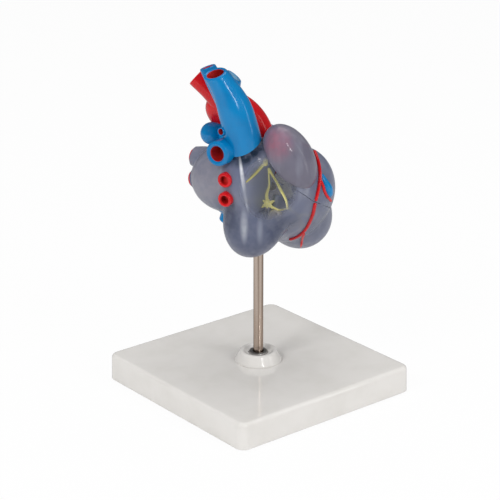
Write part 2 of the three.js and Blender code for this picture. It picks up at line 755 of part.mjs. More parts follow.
// Valves and conducting system
for (const [name, shape] of Object.entries(valves)) {
  add(heartGroup, name, valve(shape), 'valve');
}
add(heartGroup, 'sinus_node', node(nodePlaces.sinus, sinusSize), 'nerve');
add(heartGroup, 'atrioventricular_node', node(nodePlaces.valve, valveNodeSize), 'nerve');
for (const [name, points] of Object.entries(tracts)) {
  add(heartGroup, name, without(tract(points), ...nodeSpaces), 'nerve');
}
add(heartGroup, 'bundle_of_his', vessel(bundleRoute, [fibreRadius, fibreRadius], 8, 6), 'nerve');
add(heartGroup, 'right_bundle_branch', branch(branchOff), 'nerve');
add(heartGroup, 'left_bundle_branch', branch(-branchOff), 'nerve');

// Vessels on the wall; the seam parts three of them.
add(heartGroup, 'right_coronary_artery', rightCoronary.subtract(clearFront), 'artery');
add(heartGroup, 'marginal_artery', marginalArtery.subtract(clearFront), 'artery');
add(heartGroup, 'left_anterior_artery', leftAnterior.subtract(clearFront), 'artery');
add(heartGroup, 'circumflex_artery', circumflex.subtract(clearFront), 'artery');
add(heartGroup, 'great_cardiac_vein', greatVein.subtract(clearFront), 'vein');
add(heartGroup, 'coronary_sinus', coronarySinus.subtract(clearFront), 'vein');

// Detachable front wall
add(frontGroup, 'front_wall', without(bossed.intersect(front), ...seamHoles), 'shell');
const rightPouch = lobe(auricle).subtract(lobe(auricle, -auricleWall, 14, 9));
add(frontGroup, 'right_auricle', without(rightPouch, clearHeart, clearAorta, clearCava), 'shell');
add(frontGroup, 'front_right_coronary', rightCoronary.intersect(front), 'artery');
add(frontGroup, 'front_left_anterior', leftAnterior.intersect(front), 'artery');
add(frontGroup, 'front_great_vein', greatVein.intersect(front), 'vein');
add(frontGroup, 'conus_artery', conusArtery.intersect(front), 'artery');
add(frontGroup, 'anterior_cardiac_vein', anteriorVein.intersect(front), 'vein');

// Magnets and pins at the seam
['right', 'left'].forEach((side, i) => {
  const magnet = (low, high) => bar(magnetPlaces[i], seamNormal, magnetDiameter / 2, low, high);
  const pin = bar(pinPlaces[i], pull, pinDiameter / 2, -pinLength / 2, pinLength / 2, 10);
  add(heartGroup, `rear_magnet_${side}`, magnet(-magnetEnd, -magnetRest), 'steel');
  add(frontGroup, `front_magnet_${side}`, magnet(magnetRest, magnetEnd), 'steel');
  add(heartGroup, `locating_pin_${side}`, pin, 'steel');
});

export default root;
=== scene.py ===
# %% [markdown]
# # A human heart model on a stand
#
# The object is a teaching model: a heart moulded in tinted clear plastic, painted great vessels, a
# yellow conducting system laid inside it, and a steel rod on a square white base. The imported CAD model
# gives every place and size. The lesson computes each visible surface with numpy and gives it a
# finish made of nodes.

# %% The frame and the tools
import math

import bpy
import numpy as np
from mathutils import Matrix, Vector


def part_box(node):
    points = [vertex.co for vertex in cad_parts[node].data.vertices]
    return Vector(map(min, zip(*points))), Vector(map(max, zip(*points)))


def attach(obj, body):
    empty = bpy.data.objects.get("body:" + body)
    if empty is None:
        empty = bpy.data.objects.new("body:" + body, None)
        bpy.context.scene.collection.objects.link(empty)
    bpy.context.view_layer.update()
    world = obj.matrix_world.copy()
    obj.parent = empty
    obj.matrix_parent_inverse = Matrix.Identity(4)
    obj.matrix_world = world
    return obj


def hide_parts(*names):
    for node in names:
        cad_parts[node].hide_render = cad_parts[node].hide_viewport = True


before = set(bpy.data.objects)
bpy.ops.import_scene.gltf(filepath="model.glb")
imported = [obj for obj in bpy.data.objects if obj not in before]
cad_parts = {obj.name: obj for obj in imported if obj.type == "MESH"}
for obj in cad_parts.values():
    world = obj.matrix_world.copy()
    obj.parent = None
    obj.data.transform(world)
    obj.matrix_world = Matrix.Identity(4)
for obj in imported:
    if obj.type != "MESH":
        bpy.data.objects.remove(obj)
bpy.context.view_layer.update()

# %% [markdown]
# ## Two sets of axes
#
# The base is square to the axes of the frame. The heart is turned on its rod, so its own shapes are
# simpler in axes that turn with it: x to the heart's front, y to its left side, z up, in millimetres.
# Every heart shape is worked out in those axes and turned once, when its mesh is made.

# %% Places of the heart in the frame
MM = 0.001
HEART_TURN = math.radians(-39)


def turned(points, angle):
    """Points turned about the vertical axis: x cos a - y sin a, x sin a + y cos a, z."""
    x, y, z = np.moveaxis(np.asarray(points, float), -1, 0)
    c, s = math.cos(angle), math.sin(angle)
    return np.stack([x * c - y * s, x * s + y * c, z], axis=-1)


def node_middle(node):
    """The middle of a CAD node's box, in the heart's own axes and millimetres."""
    low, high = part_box(node)
    return turned(np.array((low + high) / 2) / MM, -HEART_TURN)


def unit(vectors):
    """Each vector divided by its own length."""
    vectors = np.asarray(vectors, float)
    return vectors / np.linalg.norm(vectors, axis=-1, keepdims=True)


print("sinus node, heart axes:", node_middle("sinus_node").round(1))

# %% [markdown]
# ## Meshes from grids
#
# A vessel, a lobe of the heart and a turned collar are all grids of points: rows that follow the shape
# and columns that run round it. One function joins the columns into rings and closes the two ends, and
# the rows past a chosen one take a second finish, as the bore of a vessel does. Blender's primitives
# and its Screw modifier could make some of these shapes, but a grid of points makes all of them in the
# same few lines, and every place stays exact.

# %% A closed skin from a grid of rings
def skin(rings, lining_from=None, loop=False):
    """A closed skin: rings has the shape (rows, columns, 3). Quads join each ring to the next one. A fan
    of triangles to the middle of the first and last ring closes the ends, or with loop the last ring is
    joined to the first."""
    rings = np.asarray(rings, float)
    if loop:
        rings = np.concatenate([rings, rings[:1]])
    rows, cols = rings.shape[:2]
    index = np.arange(rows * cols).reshape(rows, cols)
    if loop:
        index[-1] = index[0]
    beside = np.roll(index, -1, axis=1)
    quads = np.stack([index[:-1], beside[:-1], beside[1:], index[1:]], axis=-1).reshape(-1, 4)
    head = np.stack([np.full(cols, rows * cols), beside[0], index[0]], axis=-1)
    tail = np.stack([np.full(cols, rows * cols + 1), index[-1], beside[-1]], axis=-1)
    tris = np.concatenate([head, tail])[:0 if loop else None]
    verts = np.concatenate([rings.reshape(-1, 3), rings[:1].mean(axis=1), rings[-1:].mean(axis=1)])
    verts = verts[:(rows - 1) * cols] if loop else verts
    corners = np.concatenate([quads[:, [0, 1, 2]], quads[:, [0, 2, 3]], tris])
    a, b, c = (verts[corners[:, i]] for i in range(3))
    if np.einsum("ij,ij->i", a, np.cross(b, c)).sum() < 0:
        quads, tris = quads[:, ::-1], tris[:, ::-1]
    lined = rows if lining_from is None else lining_from
    quad_slots = np.repeat(np.arange(rows - 1) >= lined, cols)
    tri_slots = np.repeat([False, lined < rows], cols)[:len(tris)]
    return verts, quads, tris, np.concatenate([quad_slots, tri_slots])


# %% Skins made into an object
def mesh_object(name, skins, *finishes, by_heart=True):
    """One smooth-shaded object from closed skins; the second finish is for the lined rows. Each skin's
    vertex numbers are raised by the number of vertices before it, and all places are turned into the
    frame and scaled to metres."""
    verts = np.concatenate([s[0] for s in skins])
    starts = np.cumsum([0] + [len(s[0]) for s in skins[:-1]])
    corners, sizes = [], []
    for (_, quads, tris, _), start in zip(skins, starts):
        corners += [(quads + start).ravel(), (tris + start).ravel()]
        sizes += [np.full(len(quads), 4), np.full(len(tris), 3)]
    corners, sizes = np.concatenate(corners), np.concatenate(sizes)
    places = turned(verts, HEART_TURN if by_heart else 0) * MM
    mesh = bpy.data.meshes.new(name)
    mesh.vertices.add(len(verts))
    mesh.vertices.foreach_set("co", places.ravel())
    mesh.loops.add(len(corners))
    mesh.loops.foreach_set("vertex_index", corners)
    mesh.polygons.add(len(sizes))
    mesh.polygons.foreach_set("loop_start", np.cumsum(sizes) - sizes)
    for finish in finishes:
        mesh.materials.append(finish)
    if len(finishes) > 1:
        mesh.polygons.foreach_set("material_index", np.concatenate([s[3] for s in skins]).astype(np.int32))
    mesh.polygons.foreach_set("use_smooth", np.ones(len(sizes), bool))
    mesh.update(calc_edges=True)
    mesh.validate()
    piece = bpy.data.objects.new(name, mesh)
    bpy.context.scene.collection.objects.link(piece)
    print(f"{name}: {len(verts)} vertices, {int((sizes - 2).sum())} triangles")
    return piece


# %% What every finished piece is given
def settle(piece, body, slot, *nodes):
    """The piece rides on its body and stands for its CAD nodes, which are hidden. The slot is not used."""
    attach(piece, body)
    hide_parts(*nodes)


# %% [markdown]
# ## Smooth lines
#
# A vessel follows a line. A few points are listed, and a smooth curve runs through them: each
# span is a cubic whose slopes at its ends come from the neighbouring points. A Bezier curve object
# would do as well, but then its points would have to be read back for the rings that follow.

# %% Curves through chosen points
def through(values, knots, at):
    """Cubic spans: (2t^3-3t^2+1) a + (t^3-2t^2+t) h m + (3t^2-2t^3) b + (t^3-t^2) h n, with a, b the
    ends of a span of length h and m, n the slopes there."""
    values, knots = np.asarray(values, float), np.asarray(knots, float)
    slopes = np.gradient(values, knots, axis=0)
    span = np.clip(np.searchsorted(knots, at, side="right") - 1, 0, len(knots) - 2)
    h = knots[span + 1] - knots[span]
    t = (at - knots[span]) / h
    if values.ndim > 1:
        h, t = h[:, None], t[:, None]
    a, b, m, n = values[span], values[span + 1], slopes[span], slopes[span + 1]
    starts = (2 * t**3 - 3 * t**2 + 1) * a + (t**3 - 2 * t**2 + t) * h * m
    return starts + (3 * t**2 - 2 * t**3) * b + (t**3 - t**2) * h * n


def line(points, count, closed=False):
    """Points at even steps along a smooth curve through the given points. The knots lie apart by the
    distance to the power 0.6, so that short spans beside long ones don't swing out."""
    points = np.asarray(points, float)
    if closed:
        points = np.concatenate([points[-3:], points, points[:4]])
    knots = np.concatenate([[0], np.cumsum(np.linalg.norm(np.diff(points, axis=0), axis=1) ** 0.6)])
    ends = (knots[3], knots[-4]) if closed else (knots[0], knots[-1])
    fine = through(points, knots, np.linspace(*ends, 40 * len(points)))
    run = np.concatenate([[0], np.cumsum(np.linalg.norm(np.diff(fine, axis=0), axis=1))])
    at = np.linspace(0, run[-1], count, endpoint=not closed)
    return np.stack([np.interp(at, run, fine[:, i]) for i in range(fine.shape[1])], axis=1)


def spread(values, count):
    """A smooth list of count numbers through the values, which are spaced evenly."""
    if len(values) == 1:
        return np.full(count, float(values[0]))
    return through(values, np.linspace(0, 1, len(values)), np.linspace(0, 1, count))


def angles(count):
    """Even steps once round: 2 pi i / count."""
    return np.linspace(0, 2 * math.pi, count, endpoint=False)


print("a quarter circle through three points:", line([(1, 0), (0.71, 0.71), (0, 1)], 5).round(2).tolist())

# %% [markdown]
# ## Tubes and open vessels
#
# A tube is a circle carried along a line. Its rings are kept from twisting by one fixed direction, so
# that the first point of each ring looks the same way. An open vessel is one skin as well: up the
# outside, over a half-round rim and back down the bore. A curve with a bevel also gives a tube, but not
# a rim that faces its own way, nor a bore with its own finish.

# %% Circles carried along a line
END_LEFT = 0.02  # the share of the squared radius that stays at a rounded end


def carried(path, side):
    """The line's direction and two directions square to it at every point; the first of the two is the
    part of side that is square to the line."""
    side = np.asarray(side, float)
    ahead = unit(np.gradient(path, axis=0))
    across = unit(side - (ahead @ side)[:, None] * ahead)
    return ahead, across, np.cross(ahead, across)


def rings_on(path, axes, rows, radius, forward, around):
    """Rings of points on the chosen rows: path + radius (cos a across + sin a third) + forward ahead."""
    ahead, across, third = (axis[rows][:, None] for axis in axes)
    a = angles(around)[:, None]
    radius = np.broadcast_to(radius, len(rows))[:, None, None]
    forward = np.broadcast_to(forward, (len(rows), around))[:, :, None]
    return path[rows][:, None] + radius * (across * np.cos(a) + third * np.sin(a)) + forward * ahead


def run_length(path):
    """The sum of the distances from each point to the next."""
    return np.linalg.norm(np.diff(path, axis=0), axis=1).sum()


def tube(points, radii, side=(0, 1, 0), steps=60, around=20):
    """A closed tube whose ends are rounded: there the radius shrinks as the square root of 1 - x^2."""
    path = line(points, steps)
    radius = spread(radii, steps)
    run = np.linspace(0, run_length(path), steps)
    for end, distance in ((radius[0], run), (radius[-1], run[::-1])):
        x = np.clip(1 - distance / end, 0, 1)
        radius = radius * np.sqrt(np.maximum(1 - x**2, END_LEFT))
    return skin(rings_on(path, carried(path, side), np.arange(steps), radius, 0, around))


# %% Open vessels
RIM_STEPS = 13
LEAN_OVER = 4  # radii before the mouth over which the rings turn to face as the mouth does


def vessel(points, radii, side, wall, depth, facing=None, steps=90, around=72):
    """An open vessel: its outside, a half-round rim that faces a chosen way, and its bore to a depth. A
    ring leans by tilt times its radius, where tilt is -(ring direction . facing) / (ahead . facing)."""
    path = line(points, steps)
    axes = carried(path, side)
    ahead, across, third = (axis[-1] for axis in axes)
    facing = ahead if facing is None else unit(facing)
    a = angles(around)
    tilt = -(across @ facing * np.cos(a) + third @ facing * np.sin(a)) / (ahead @ facing)
    radius = spread(radii, steps)
    run = np.linspace(-run_length(path), 0, steps)
    weight = np.clip(1 + run / (LEAN_OVER * radius[-1]), 0, 1) ** 2
    lean = weight[:, None] * radius[:, None] * tilt
    outside = rings_on(path, axes, np.arange(steps), radius, lean, around)
    turn = np.linspace(0, math.pi, RIM_STEPS)[1:-1]
    rim_rows = np.full(len(turn), steps - 1)
    rim_radius = radius[-1] - wall / 2 + wall / 2 * np.cos(turn)
    rim_lean = rim_radius[:, None] * tilt + wall / 2 * np.sin(turn)[:, None]
    rim = rings_on(path, axes, rim_rows, rim_radius, rim_lean, around)
    inner = np.arange(steps - 1, np.searchsorted(run, -depth), -1)
    bore_lean = (weight[inner] * (radius[inner] - wall))[:, None] * tilt
    bore = rings_on(path, axes, inner, radius[inner] - wall, bore_lean, around)
    return skin(np.concatenate([outside, rim, bore]), lining_from=steps + len(turn) - 2)


print("a plain open vessel has", len(vessel([(0, 0, 0), (0, 0, 30)], [5, 4], (0, 1, 0), 1, 8)[1]), "quads")

# %% [markdown]
# ## The heart wall as one formula
#
# The wall is a smooth swelling of rounded lobes: the two atria, the pouch below the right one, the
# ventricles and the apex. From the middle of the heart each direction meets every lobe at some
# distance, and the wall lies at a power mean of those distances, so the farthest lobe wins and soft
# furrows stay between the lobes. It could be sculpted, or joined from metaballs. A formula was chosen
# because the vessels, the seam and the chambers all have to find the same wall. The CAD wall uses the
# formula too, on a coarser grid and with nearly the same lobes.

# %% Lobes and their blend
HEART_MIDDLE = np.array([4.0, 0.0, 114.0])
SHARPNESS = 16
WALL = 2.6
LOBES = [  # centre, half sizes, lean about x, y and z in degrees
    ((5, -6, 118), (26, 18, 24), (0, 0, 0)),
    ((-3.5, -10, 127), (17, 14, 21), (0, 0, 0)),
    ((-1.4, -8, 102.7), (17.0, 16, 23.4), (0, 17, 0)),
    ((-14.5, 8, 119.5), (22, 21, 19), (0, 0, 0)),
    ((15, 13, 109), (25, 26, 28), (20, 10, 0)),
    ((22.3, 2, 116.2), (18.6, 17, 21.8), (0, 0, 0)),
    ((23, 20, 92.5), (17.5, 18, 17.5), (0, 0, 0)),
]
RIGHT_AURICLE = ((16.5, -12.3, 136.7), (12.5, 13, 20.5), (8, -28, 0))
LEFT_AURICLE = ((-3, 26, 122), (10, 7, 11), (0, 20, 0))


def lean_matrix(lean):
    """A turn about x, then about y, then about z."""
    (cx, cy, cz), (sx, sy, sz) = np.cos(np.radians(lean)), np.sin(np.radians(lean))
    about_x = np.array([[1, 0, 0], [0, cx, -sx], [0, sx, cx]])
    about_y = np.array([[cy, 0, sy], [0, 1, 0], [-sy, 0, cy]])
    about_z = np.array([[cz, -sz, 0], [sz, cz, 0], [0, 0, 1]])
    return about_z @ about_y @ about_x


def into_lobe(points, lobe):
    """Points in a lobe's own axes, where the lobe is a ball of radius 1."""
    centre, half, lean = lobe
    return (points - np.array(centre)) @ lean_matrix(lean) / np.array(half)


def reach(lobe, rays):
    """The distance d from the heart's middle at which a ray leaves the lobe: the root of |s + d r| = 1."""
    start = into_lobe(HEART_MIDDLE, lobe)
    step = into_lobe(HEART_MIDDLE + rays, lobe) - start
    square = (step**2).sum(-1)
    half = step @ start / square
    inside = half**2 - (start @ start - 1) / square
    return np.where(inside > 0, np.maximum(np.sqrt(np.maximum(inside, 0)) - half, 0), 0)


GROOVES = []  # points of a line on the wall, depth and width, filled in below


def wall_radius(rays):
    """The power mean of the lobes' distances, less depth * exp(-(d / width)^2) near each groove. A groove
    is a few dozen points; all the rays are measured against one of them at a time, to spare memory."""
    radius = sum(reach(lobe, rays) ** SHARPNESS for lobe in LOBES) ** (1 / SHARPNESS)
    places = HEART_MIDDLE + rays * radius[..., None]
    for points, depth, width in GROOVES:
        nearest = np.full(radius.shape, np.inf)
        for point in points:
            nearest = np.minimum(nearest, ((places - point) ** 2).sum(-1))
        radius = radius - depth * np.exp(-nearest / width**2)
    return radius


def room(points):
    """How deep points lie inside the wall, along the ray from the heart's middle; negative outside."""
    away = points - HEART_MIDDLE
    distance = np.linalg.norm(away, axis=-1)
    return wall_radius(away / distance[..., None]) - distance


print("wall towards the front:", wall_radius(np.array([[1.0, 0, 0]])).round(2), "mm from the middle")

# %% [markdown]
# ## Looking at the heart from a side
#
# The seam, the coronary vessels and the conducting fibres are drawn on the wall as seen from one side,
# as across and up in millimetres. A line of sight through each drawn point is followed until it meets
# the wall. A Shrinkwrap modifier does this for a finished mesh; the formula does it before there is one.

# %% Views for drawing on the wall
SIGHT_DEPTHS = np.linspace(-60, 60, 481)
VIEW_MIDDLE = np.array([0.0, 0.0, 110.0])


class View:
    """A line of sight and the two directions across it."""

    def __init__(self, sight, right=None):
        self.away = unit(sight)
        self.right = unit(np.cross(self.away, (0, 0, 1)) if right is None else right)
        self.up = np.cross(self.right, self.away)

    def at(self, across, high, depth=0.0):
        """The point VIEW_MIDDLE + across * right + high * up + depth * away."""
        across, high, depth = (np.asarray(v, float)[..., None] for v in (across, high, depth))
        return VIEW_MIDDLE + across * self.right + high * self.up + depth * self.away

    def on_wall(self, places, last=False):
        """Where lines of sight first meet the wall, or leave it last: the first step inside, moved back
        by the share of the step that lies inside already."""
        places = np.asarray(places, float)
        depths = SIGHT_DEPTHS[::-1] if last else SIGHT_DEPTHS
        points = self.at(places[:, :1], places[:, 1:], depths[None])
        inside = room(points)
        row = np.arange(len(places))
        hit = np.where((inside > 0).any(1), (inside > 0).argmax(1), inside.argmax(1))
        hit = np.maximum(hit, 1)
        here, before = inside[row, hit], inside[row, hit - 1]
        share = np.clip(here / np.where(here == before, 1, here - before), 0, 1)
        depth = depths[hit] + share * (depths[hit - 1] - depths[hit])
        return self.at(places[:, 0], places[:, 1], depth)


SEAM_LEAN = math.radians(20.7)
from_right = View((0, math.cos(SEAM_LEAN), -math.sin(SEAM_LEAN)))
from_front = View((-1, -1, 0))
from_left = View((0, -1, 0))
from_top = View(-from_right.up, right=(1, 0, 0))
print("from the right, away:", from_right.away.round(3), "up:", from_right.up.round(3))

# %% [markdown]
# ## The seam of the front wall
#
# The real model's front wall comes off. Its seam climbs over the right side under the auricle, crosses
# the top in front of the great vessels, comes down the left side and runs round the front. It is drawn
# as a loop of places seen from four sides, and then kept as directions from the heart's middle. A
# Boolean cut would leave ragged triangles there, while walls that grow out to the seam end in clean rings.

# %% The seam as a loop of directions
from_before = View((-1, 0, 0))
seam_places = np.concatenate([
    from_right.on_wall([(33, -3.4), (26, 0), (18.7, 4.8), (12.5, 12), (10, 22)]),
    from_top.on_wall([(10, -13), (13, -6), (21, -4), (25, 2)]),
    from_right.on_wall([(25, 14), (20, 7), (22, 2.6), (33, -3.4)], last=True),
    from_before.on_wall([(12, -9.9), (4, -6.9), (-4, -3.8)]),
])
seam = unit(line(seam_places - HEART_MIDDLE, 240, closed=True))
front_middle = unit(seam.mean(axis=0))
turn_axes = unit(np.cross(front_middle, (0, 0, 1)))
turn_axes = np.stack([turn_axes, np.cross(front_middle, turn_axes)])


def round_the_front(rays):
    """A ray's turn about the front's middle direction, and its lean from that direction."""
    first, second = rays @ turn_axes[0], rays @ turn_axes[1]
    return np.arctan2(second, first), np.arccos(np.clip(rays @ front_middle, -1, 1))


seam_turn, seam_lean = round_the_front(seam)
order = np.argsort(seam_turn)
print("seam leans from", np.degrees(seam_lean.min()).round(), "to", np.degrees(seam_lean.max()).round())


def past_seam(points):
    """Millimetres from the seam along the wall: positive on the front wall, negative behind it."""
    away = np.asarray(points, float) - HEART_MIDDLE
    distance = np.linalg.norm(away, axis=-1)
    turn, lean = round_the_front(away / distance[..., None])
    edge = np.interp(turn, seam_turn[order], seam_lean[order], period=2 * math.pi)
    return (edge - lean) * distance


# %% [markdown]
# ## Finishes made of nodes
#
# Blender mixes a finish out of nodes. They could be placed and linked one by one, but long recipes are
# hard to read that way. A small class wraps a socket so that node sums read as ordinary arithmetic, and
# one method adds every other node.

# %% Nodes written as sums
class Value:
    """A socket of a finish; each sum with it adds a Math node."""

    def __init__(self, finish, socket):
        self.finish, self.socket = finish, socket

    def math(self, operation, first, second):
        """One Math node with its two inputs."""
        return self.finish.node("Math", {"operation": operation}, {0: first, 1: second})

    def __add__(self, other):
        return self.math("ADD", self, other)

    def __sub__(self, other):
        return self.math("SUBTRACT", self, other)

    def __rsub__(self, other):
        return self.math("SUBTRACT", other, self)

    def __mul__(self, other):
        return self.math("MULTIPLY", self, other)

    def __pow__(self, other):
        return self.math("POWER", self, other)

    __radd__, __rmul__ = __add__, __mul__


# %% A finish under construction
class Finish:
    """A material or world whose nodes are being added."""

    def __init__(self, name, holder=None):
        self.holder = holder or bpy.data.materials.new(name)
        self.holder.use_nodes = True
        self.tree = self.holder.node_tree
        self.tree.nodes.clear()

    def node(self, kind, settings=(), inputs=(), output=0):
        """Adds a node, sets it, then gives its sockets their values or links."""
        node = self.tree.nodes.new("ShaderNode" + kind)
        for key, value in dict(settings).items():
            setattr(node, key, value)
        for key, value in dict(inputs).items():
            if isinstance(value, Value):
                self.tree.links.new(value.socket, node.inputs[key])
            else:
                node.inputs[key].default_value = value
        return Value(self, node.outputs[output]) if len(node.outputs) else None

    def blend(self, share, first, second):
        """One colour turning into another as share goes from 0 to 1."""
        return self.node("Mix", {"data_type": "RGBA"}, {0: share, 6: first, 7: second}, output=2)

    def cloud(self, size, detail=2.0, stretch=(1, 1, 1)):
        """Noise from 0 to 1 whose lumps are about size millimetres across."""
        place = self.node("TexCoord", output="Object")
        place = self.node("Mapping", {}, {"Vector": place, "Scale": stretch})
        return self.node("TexNoise", {}, {"Vector": place, "Scale": 1 / (size * MM), "Detail": detail})

    def ramp(self, value, low, high):
        """0 below low, 1 above high, with a soft step between."""
        settings = {"interpolation_type": "SMOOTHSTEP"}
        return self.node("MapRange", settings, {"Value": value, "From Min": low, "From Max": high})

    def near(self, place, inner, outer, stretch=(1, 1, 1), lean=0.0):
        """1 within inner millimetres of a place in the heart's axes, 0 beyond outer. The distance along
        each axis is first divided by its stretch; lean turns the axes towards the heart's front."""
        inputs = {"Vector": self.node("TexCoord", output="Object"), "Rotation": (0, lean, HEART_TURN),
                  "Location": turned(place, HEART_TURN) * MM, "Scale": np.array(stretch) * MM}
        apart = self.node("Mapping", {"vector_type": "TEXTURE"}, inputs)
        apart = self.node("VectorMath", {"operation": "LENGTH"}, {0: apart}, output="Value")
        return 1 - self.ramp(apart, inner, outer)

    def bump(self, height, strength, depth):
        """A relief of height times depth, in millimetres, at a strength from 0 to 1."""
        return self.node("Bump", {}, {"Height": height, "Strength": strength, "Distance": depth * MM})

    def surface(self, **sockets):
        """The plastic or metal itself, joined to the output."""
        inputs = {key.replace("_", " "): value for key, value in sockets.items()}
        shader = self.node("BsdfPrincipled", {}, inputs)
        self.node("OutputMaterial", {}, {"Surface": shader})
        return self.holder


# %% Colours as they are read off a picture
def shade(red, green, blue):
    """A colour as an eye-dropper reads it, 0 to 255, turned into the linear values that nodes use:
    c / 12.92 below 0.04, else ((c + 0.055) / 1.055)^2.4."""
    c = np.array([red, green, blue]) / 255
    return tuple(np.where(c <= 0.04045, c / 12.92, ((c + 0.055) / 1.055) ** 2.4)) + (1.0,)


print("middle grey in linear values:", round(float(shade(128, 128, 128)[0]), 3))

# %% [markdown]
# ## The tinted clear wall
#
# The wall is smoke-tinted plastic. Where it is seen face on, some of what lies inside shows through it;
# where it is seen edge on, light passes a longer way through it. A refracting glass would be truer, but
# it turns noisy and dark behind so many walls, so the wall is a blend by alpha with gloss on top. Its
# cover rises with the facing angle, and its gloss grows soft there, so that a pale floor doesn't mirror
# as a hard white line. Over the conducting fibres the plastic is clearest. Clouds and a long moulding
# grain keep it from looking like glass. Pale streaks along the grain are painted soft reflections. A few
# soft marks paint light and shade on it: darker tints low on the heart as painted shade, a painted shadow
# under the superior vena cava, pale bands that are painted glints of the rod through the wall, a long
# painted highlight down the right atrium, and one paler tint at the back. The lining and the plates
# inside are painted paler than the outside, to make up for the light that the walls hold back, and a
# pink blush painted on the right auricle stands in for the red aorta seen through it.

# %% Clear finishes
FIBRE_WINDOW = ((5, -24, 123), 11, 18, (1, 1, 1.05))  # place, inner and outer size, stretch
CLEAR_ROUGHNESS = 0.16


def tinted(name, cover, edge_cover, colour, deep, marks=(), clear=0.0):
    """Cover rises from cover to edge_cover with the facing angle, and falls by clear over the conducting
    fibres. Pale streaks along the grain are painted soft reflections. Each mark, mostly painted light or
    shade, tints a stretched ball: place, inner and outer size, stretch, lean, strength, tint."""
    finish = Finish(name)
    facing = finish.node("LayerWeight", {}, {"Blend": 0.5}, output="Facing")
    cloud = finish.cloud(22, detail=3)
    streaks = finish.cloud(6, stretch=(1, 1, 0.14))
    body = finish.blend(finish.ramp(cloud, 0.3, 0.75), shade(*colour), shade(*deep))
    # pale streaks along the grain: painted soft reflections in the plastic
    body = finish.blend(0.3 * finish.ramp(streaks, 0.48, 0.8), body, shade(176, 180, 196))
    patchy = 0.8 + 0.4 * finish.ramp(finish.cloud(3.5, detail=3), 0.35, 0.65)
    # the marks paint light, shade and one plain tint, broken into patches
    for *where, strength, tint in marks:
        body = finish.blend(strength * patchy * finish.near(*where), body, shade(*tint))
    alpha = cover + (edge_cover - cover) * facing ** 2.5 + 0.1 * (cloud - 0.5)
    if clear:
        alpha = alpha - clear * finish.near(*FIBRE_WINDOW)
    gloss = CLEAR_ROUGHNESS + 0.12 * (streaks - 0.5) + 0.3 * facing ** 4
    ripple = finish.bump(finish.cloud(14) + 0.3 * streaks, 0.25, 0.6)
    return finish.surface(Base_Color=body, Alpha=alpha, Roughness=gloss, Normal=ripple,
                          IOR=1.49, Specular_IOR_Level=0.35, Coat_Weight=0.2, Coat_Roughness=0.1)


WALL_TINTS_LIGHT_AND_SHADE = [  # place, inner and outer size, stretch, lean, strength, tint
    # the first four marks are painted shade: darker tints low on the pouch, the right atrium and the front
    ((-2, -20, 98), 9, 22, (1, 1, 1), 0, 0.6, (84, 92, 118)),
    ((-14, -13, 106), 4, 13, (1, 1, 1.4), 0, 0.75, (62, 70, 94)),
    ((13, -18, 98), 5, 15, (1, 1, 1), 0, 0.75, (66, 74, 100)),
    ((34, 0, 96), 5, 17, (1, 1, 1), 0, 0.45, (86, 92, 112)),
    # a paler tint at the back of the heart
    ((-28, -4, 122), 6, 20, (1, 1, 1), 0, 0.5, (166, 162, 170)),
    # painted shadow: a dark band under the foot of the superior vena cava
    ((-7, -12, 141), 9, 13.8, (1, 1, 1), 0, 0.92, (30, 38, 52)),
    # painted glints: pale narrow bands on the pouch where the rod shows through the wall
    ((-7.8, -24, 102), 0.4, 2.8, (1, 8, 4.6), 0, 0.7, (186, 190, 200)),
    ((0.5, -22, 100), 0.3, 2.4, (1, 8, 4.6), 0, 0.35, (176, 182, 196)),
    # painted highlight: a long white line down the right atrium
    ((-8, -23, 126), 0.5, 1.4, (1, 9, 13), -0.15, 0.85, (238, 240, 246)),
]
# a pink blush painted on the right auricle, standing in for the red aorta seen through it
AURICLE_PAINTED_SHOW_THROUGH = [((9.5, -22, 148), 2, 11, (1, 1, 1.2), 0, 0.5, (188, 108, 128))]
wall_outside = tinted("tinted_wall", 0.86, 0.95, (130, 134, 152), (104, 110, 136), marks=WALL_TINTS_LIGHT_AND_SHADE,
                      clear=0.76)
# the lining and the plates are the same plastic as the outside, painted paler to make up for the light that
# the walls hold back
wall_inside = tinted("tinted_lining", 0.3, 0.5, (170, 174, 190), (150, 156, 176), clear=0.3)
plate_finish = tinted("tinted_plate", 0.95, 0.99, (192, 200, 226), (172, 180, 212))
auricle_outside = tinted("tinted_auricle", 0.74, 0.95, (130, 126, 142), (110, 108, 126), marks=AURICLE_PAINTED_SHOW_THROUGH)
print("clear finishes:", [finish.name for finish in bpy.data.materials if finish.name.startswith("tinted")])

# %% [markdown]
# ## Painted plastic
#
# The vessels, the conducting fibres and the valves are painted. One plain colour would look like a
# drawing; sprayed paint has a faint orange peel, small changes of tone and a slightly uneven gloss, and
# noise at three sizes gives these. The fibres' yellow glows a little, because the tinted wall in front of
# them takes light away on the way in and again on the way out.

# %% Painted finishes
def painted(name, colour, dark, roughness=0.22, coat=0.4, peel=0.12, glow=0.0):
    """Colour turns dark as a wide noise rises; gloss is roughness + 0.16 (wide - 0.5) + 0.08 (fine - 0.5),
    and the peel is a bump of middling noise."""
    finish = Finish(name)
    tone = finish.cloud(16, detail=3)
    speck = finish.cloud(1.6)
    body = finish.blend(finish.ramp(tone, 0.35, 0.8), shade(*colour), shade(*dark))
    gloss = roughness + 0.16 * (tone - 0.5) + 0.08 * (speck - 0.5)
    ripple = finish.bump(finish.cloud(3.2) + 0.3 * speck, peel, 0.25)
    return finish.surface(Base_Color=body, Roughness=gloss, Normal=ripple, IOR=1.48,
                          Specular_IOR_Level=0.3, Coat_Weight=coat, Coat_Roughness=0.08,
                          Emission_Color=body, Emission_Strength=glow)


artery_red = painted("artery_red_paint", (214, 16, 26), (190, 12, 22))
vein_blue = painted("vein_blue_paint", (0, 128, 190), (0, 108, 168))
bore_red = painted("bore_dark_red_paint", (190, 34, 30), (150, 22, 22), roughness=0.4, coat=0.1)
